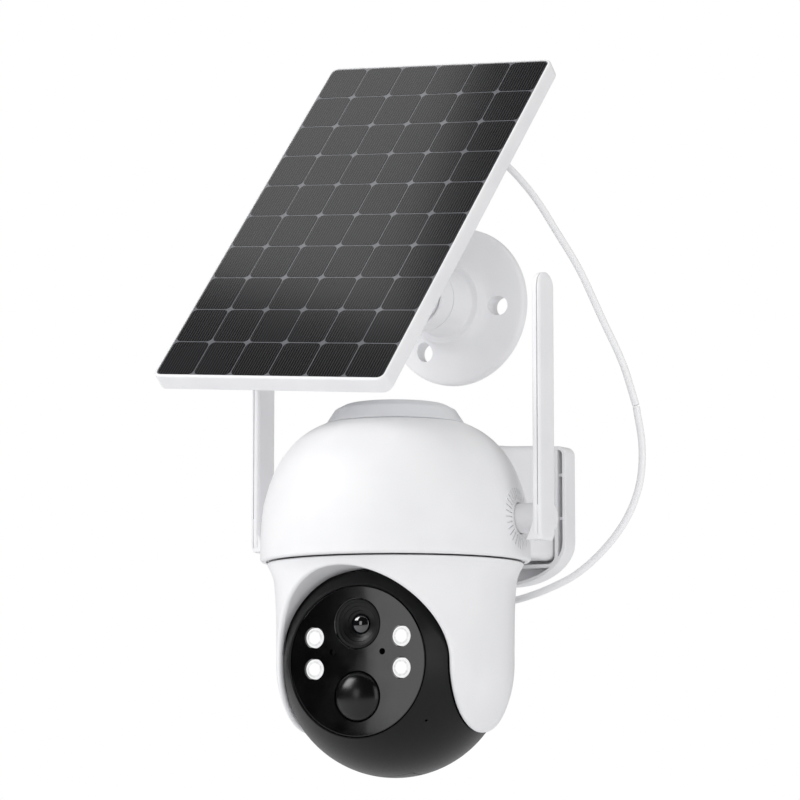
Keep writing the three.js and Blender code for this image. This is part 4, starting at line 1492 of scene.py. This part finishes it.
@dataclass
class Cable:
    """The solar cable in two lengths that meet, and its two strain reliefs."""

    layout: Layout
    diameter: float = 3.1
    upper: tuple[Point, ...] = (
        (6.2, -32.1, 160.4), (13, -32.2, 160.6), (21, -32.8, 157.6), (28.5, -33, 151.4), (40.3, -32.4, 137.7),
        (50.6, -31.2, 121.4), (60.4, -29, 104.3), (69.8, -26.5, 82.9), (78.6, -23.6, 62.1),
        (83.9, -21.9, 43.8),
    )
    lower: tuple[Point, ...] = (
        (84, -21.8, 43.2), (86.2, -20.9, 25.7), (84.5, -20.3, 9.9), (78.8, -20.5, -3.9), (69.2, -21.1, -16.2),
        (55.2, -21.8, -27.6), (41.2, -22.2, -33.9), (25.6, -21.8, -38.2), (13.5, -20, -39.3),
        (5.6, -18.7, -36.8), (4, -18.5, -31),
    )

    def relief(self, turn: Turn, at: Point, sign: int, place: Matrix, name: str, body: str,
               node: str) -> Piece:
        """Tapered strain relief with grooves.

        Args:
            turn, at, sign: the axis, the foot's place on it, and which way it points.
            place: its frame.
            name, body, node: its name, its body and the CAD node that it stands for.

        Returns:
            The object.
        """
        line = [(0, 0), (4.0, 0, 0.3), (4.0, 2.2, 0.5), (3.1, 2.9, 0.2)]
        for i in range(5):
            start, outer = 3.6 + 2.1 * i, 3.05 - 0.16 * i
            line += [(outer, start), (outer, start + 1.1, 0.1), (outer - 0.5, start + 1.2, 0.1),
                     (outer - 0.5, start + 1.9, 0.1)]
        reach = 9.4 if sign < 0 else 14.8
        line = [p for p in line if p[1] < reach - 0.6] + [(2.1, reach - 0.5, 0.3), (2.0, reach), (0, reach)]
        piece = lathe([(r, sign * h) for r, h in filleted(line, 3)], turn, at, 48)
        return settle(piece, place, name, CABLE_WHITE, body, node)

    def length_of(self, name: str, points: tuple[Point, ...], node: str) -> tuple[Piece, list[Vector]]:
        """One length of the cable as a closed tube.

        Args:
            name: the piece's name.
            points: the route in millimetres in the part's frame.
            node: the CAD tube that it stands for.

        Returns:
            The piece and its centreline in metres.
        """
        path = smooth_line(points, 1.6)
        piece = settle(tube(path, self.diameter / 2), Matrix.Scale(MM, 4), name, CABLE_WHITE, "wall_unit",
                       node)
        return piece, [p * MM for p in path]

    def build(self) -> None:
        """Makes the cable and its two strain reliefs, then takes each length off its body and leaves it in
        world space.
        """
        housing = self.layout.housing()
        low_relief = self.relief(Turn.UP, (4, 65.5, 4.1), -1, housing, "camera_strain_relief", "wall_unit",
                                 "camera_gland")
        high_relief = self.relief(Turn.RIGHT, (1.3, 54, 36.4), 1, self.layout.panel(), "panel_strain_relief",
                                  "solar_panel", "panel_gland")
        for name, points, node, bodies, relief in (
            ("solar_lead_upper", self.upper, "solar_cable_upper", ("solar_panel", "panel_swivel"),
             high_relief),
            ("solar_lead_lower", self.lower, "solar_cable_lower", ("panel_swivel", "wall_unit"), low_relief),
        ):
            piece, line = self.length_of(name, points, node)
            piece.parent = None
            piece.matrix_world = Matrix.Identity(4)
            del piece["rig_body"]
            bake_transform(piece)


@dataclass
class Internals:
    """CAD pieces whose own shape is kept."""

    nodes: dict[str, Piece]

    def build(self) -> None:
        """Gives each kept piece its finish."""
        dress(self.nodes, WHITE, "housing_base", "arm_cover_right", "arm_cover_left")
        dress(self.nodes, GREY, "antenna_retainer_right", "antenna_retainer_left", "ball_seat",
              "reset_button")
        dress(self.nodes, BLACK, "speaker")
        dress(self.nodes, SILICONE, "base_gasket", "face_gasket")
        dress(self.nodes, STEEL, "base_screw_1", "base_screw_2", "base_screw_3", "pan_bearing", "pan_motor",
              "pan_retaining_ring", "tilt_axle_right", "tilt_axle_left", "tilt_motor", "motion_sensor",
              "microphone", "card_reader")
        dress(self.nodes, BOARD, "main_board", "charge_board", "service_board")
        dress(self.nodes, DARK_BOARD, "face_board", "image_board")
        dress(self.nodes, ACETAL, "pan_gear", "pan_pinion", "tilt_gear", "tilt_pinion")
        dress(self.nodes, WRAP, "battery_pack")


@dataclass(frozen=True)
class Softbox:
    """A rectangular lamp that faces a point: places and sizes in metres, power in watts."""

    name: str
    at: tuple[float, float, float]
    size: tuple[float, float]
    power: float
    aim: tuple[float, float, float]

    def hang(self) -> None:
        """Makes the lamp."""
        data = bpy.data.lights.new(self.name, "AREA")
        data.shape, data.energy = "RECTANGLE", self.power
        data.size, data.size_y = self.size
        lamp = bpy.data.objects.new(self.name, data)
        lamp.location = self.at
        lamp.rotation_mode = "QUATERNION"
        lamp.rotation_quaternion = (Vector(self.aim) - Vector(self.at)).to_track_quat("-Z", "Y")
        bpy.context.scene.collection.objects.link(lamp)


# The key from the front left shapes the dome. The two glows are the soft reflections on the cells and on the
# eye's window. The fill lifts the right side.
SOFTBOXES = (
    Softbox("key", (-1.5, -1.5, 1.15), (1.0, 1.0), 25.0, (0, -0.08, 0.0)),
    Softbox("panel glow", (-0.76, 0.2, 1.38), (0.85, 0.5), 1.45, (-0.03, -0.07, 0.13)),
    Softbox("window glow", (-0.36, -1.36, 0.1), (0.28, 0.36), 0.62, (0, -0.12, -0.07)),
    Softbox("fill", (1.55, -0.7, 0.2), (1.0, 1.4), 7.5, (0, -0.08, -0.05)),
)


@dataclass
class Studio:
    """Camera, pale floor and soft lights."""

    target: tuple[float, float, float] = (1.66, -83.0, 44.9)
    azimuth: float = 31.0
    pitch: float = 7.0
    distance: float = 1400.0
    scale: float = 2.33  # how far a millimetre at the target shifts the view, in 800ths of its width
    ambient: float = 0.69
    ambient_in_gloss: float = 0.03

    def camera(self) -> None:
        """Camera below the object's middle, to the right of its front."""
        a, p = math.radians(self.azimuth), math.radians(self.pitch)
        ahead = Vector((-math.sin(a) * math.cos(p), math.cos(a) * math.cos(p), math.sin(p)))
        data = bpy.data.cameras.new("camera")
        data.sensor_width, data.lens = 36.0, 36.0 * self.scale * self.distance / 800
        data.clip_start, data.clip_end = 0.05, 50.0
        camera = bpy.data.objects.new("camera", data)
        camera.location = (Vector(self.target) - ahead * self.distance) * MM
        camera.rotation_mode = "QUATERNION"
        camera.rotation_quaternion = ahead.to_track_quat("-Z", "Y")
        bpy.context.scene.collection.objects.link(camera)
        bpy.context.scene.camera = camera

    def world(self) -> None:
        """White surroundings that gloss sees as a dim room, so that black pieces stay black."""
        world = bpy.data.worlds.new("studio")
        world.use_nodes = True
        nodes = Nodes(world.node_tree)
        ray = nodes.node("ShaderNodeLightPath").outputs
        gloss = nodes.node("ShaderNodeMix", {0: ray["Is Glossy Ray"], 2: self.ambient,
                                             3: self.ambient_in_gloss})
        seen = nodes.node("ShaderNodeMix", {0: ray["Is Camera Ray"], 2: gloss.outputs[0], 3: 1.0})
        shade = nodes.node("ShaderNodeBackground", {0: (1.0, 1.0, 1.0, 1.0), 1: seen.outputs[0]})
        nodes.node("ShaderNodeOutputWorld", {0: shade.outputs[0]})
        bpy.context.scene.world = world

    def build(self) -> None:
        """Sets the stage."""
        self.camera()
        corners = [(-4, -4, -0.25), (4, -4, -0.25), (4, 4, -0.25), (-4, 4, -0.25)]
        floor = mesh_object(corners, [(0, 1, 2, 3)], "floor")
        paint = Moulded("pale painted floor", colour="#f1f1f2", shade="#ececee", roughness=0.6, grain_mm=4,
                        flow_mm=600)
        floor.data.materials.append(paint.material())
        for softbox in SOFTBOXES:
            softbox.hang()
        self.world()
        bpy.context.scene.view_settings.view_transform = "Standard"


def main() -> None:
    """Builds every sub-assembly in order."""
    logging.basicConfig(level=logging.INFO, format="%(message)s")
    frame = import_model()
    layout = Layout({joint["name"]: joint for joint in frame["joints"]})
    Studio().build()
    Cable(layout).build()
    for assembly in (Housing(layout), Bracket(), Antenna(layout), Yoke(layout), Eye(layout),
                     PanelMount(layout), SolarPanel(layout), Internals(frame["nodes"])):
        assembly.build()
        log.info("built %s", type(assembly).__name__)


if __name__ == "__main__":
    main()
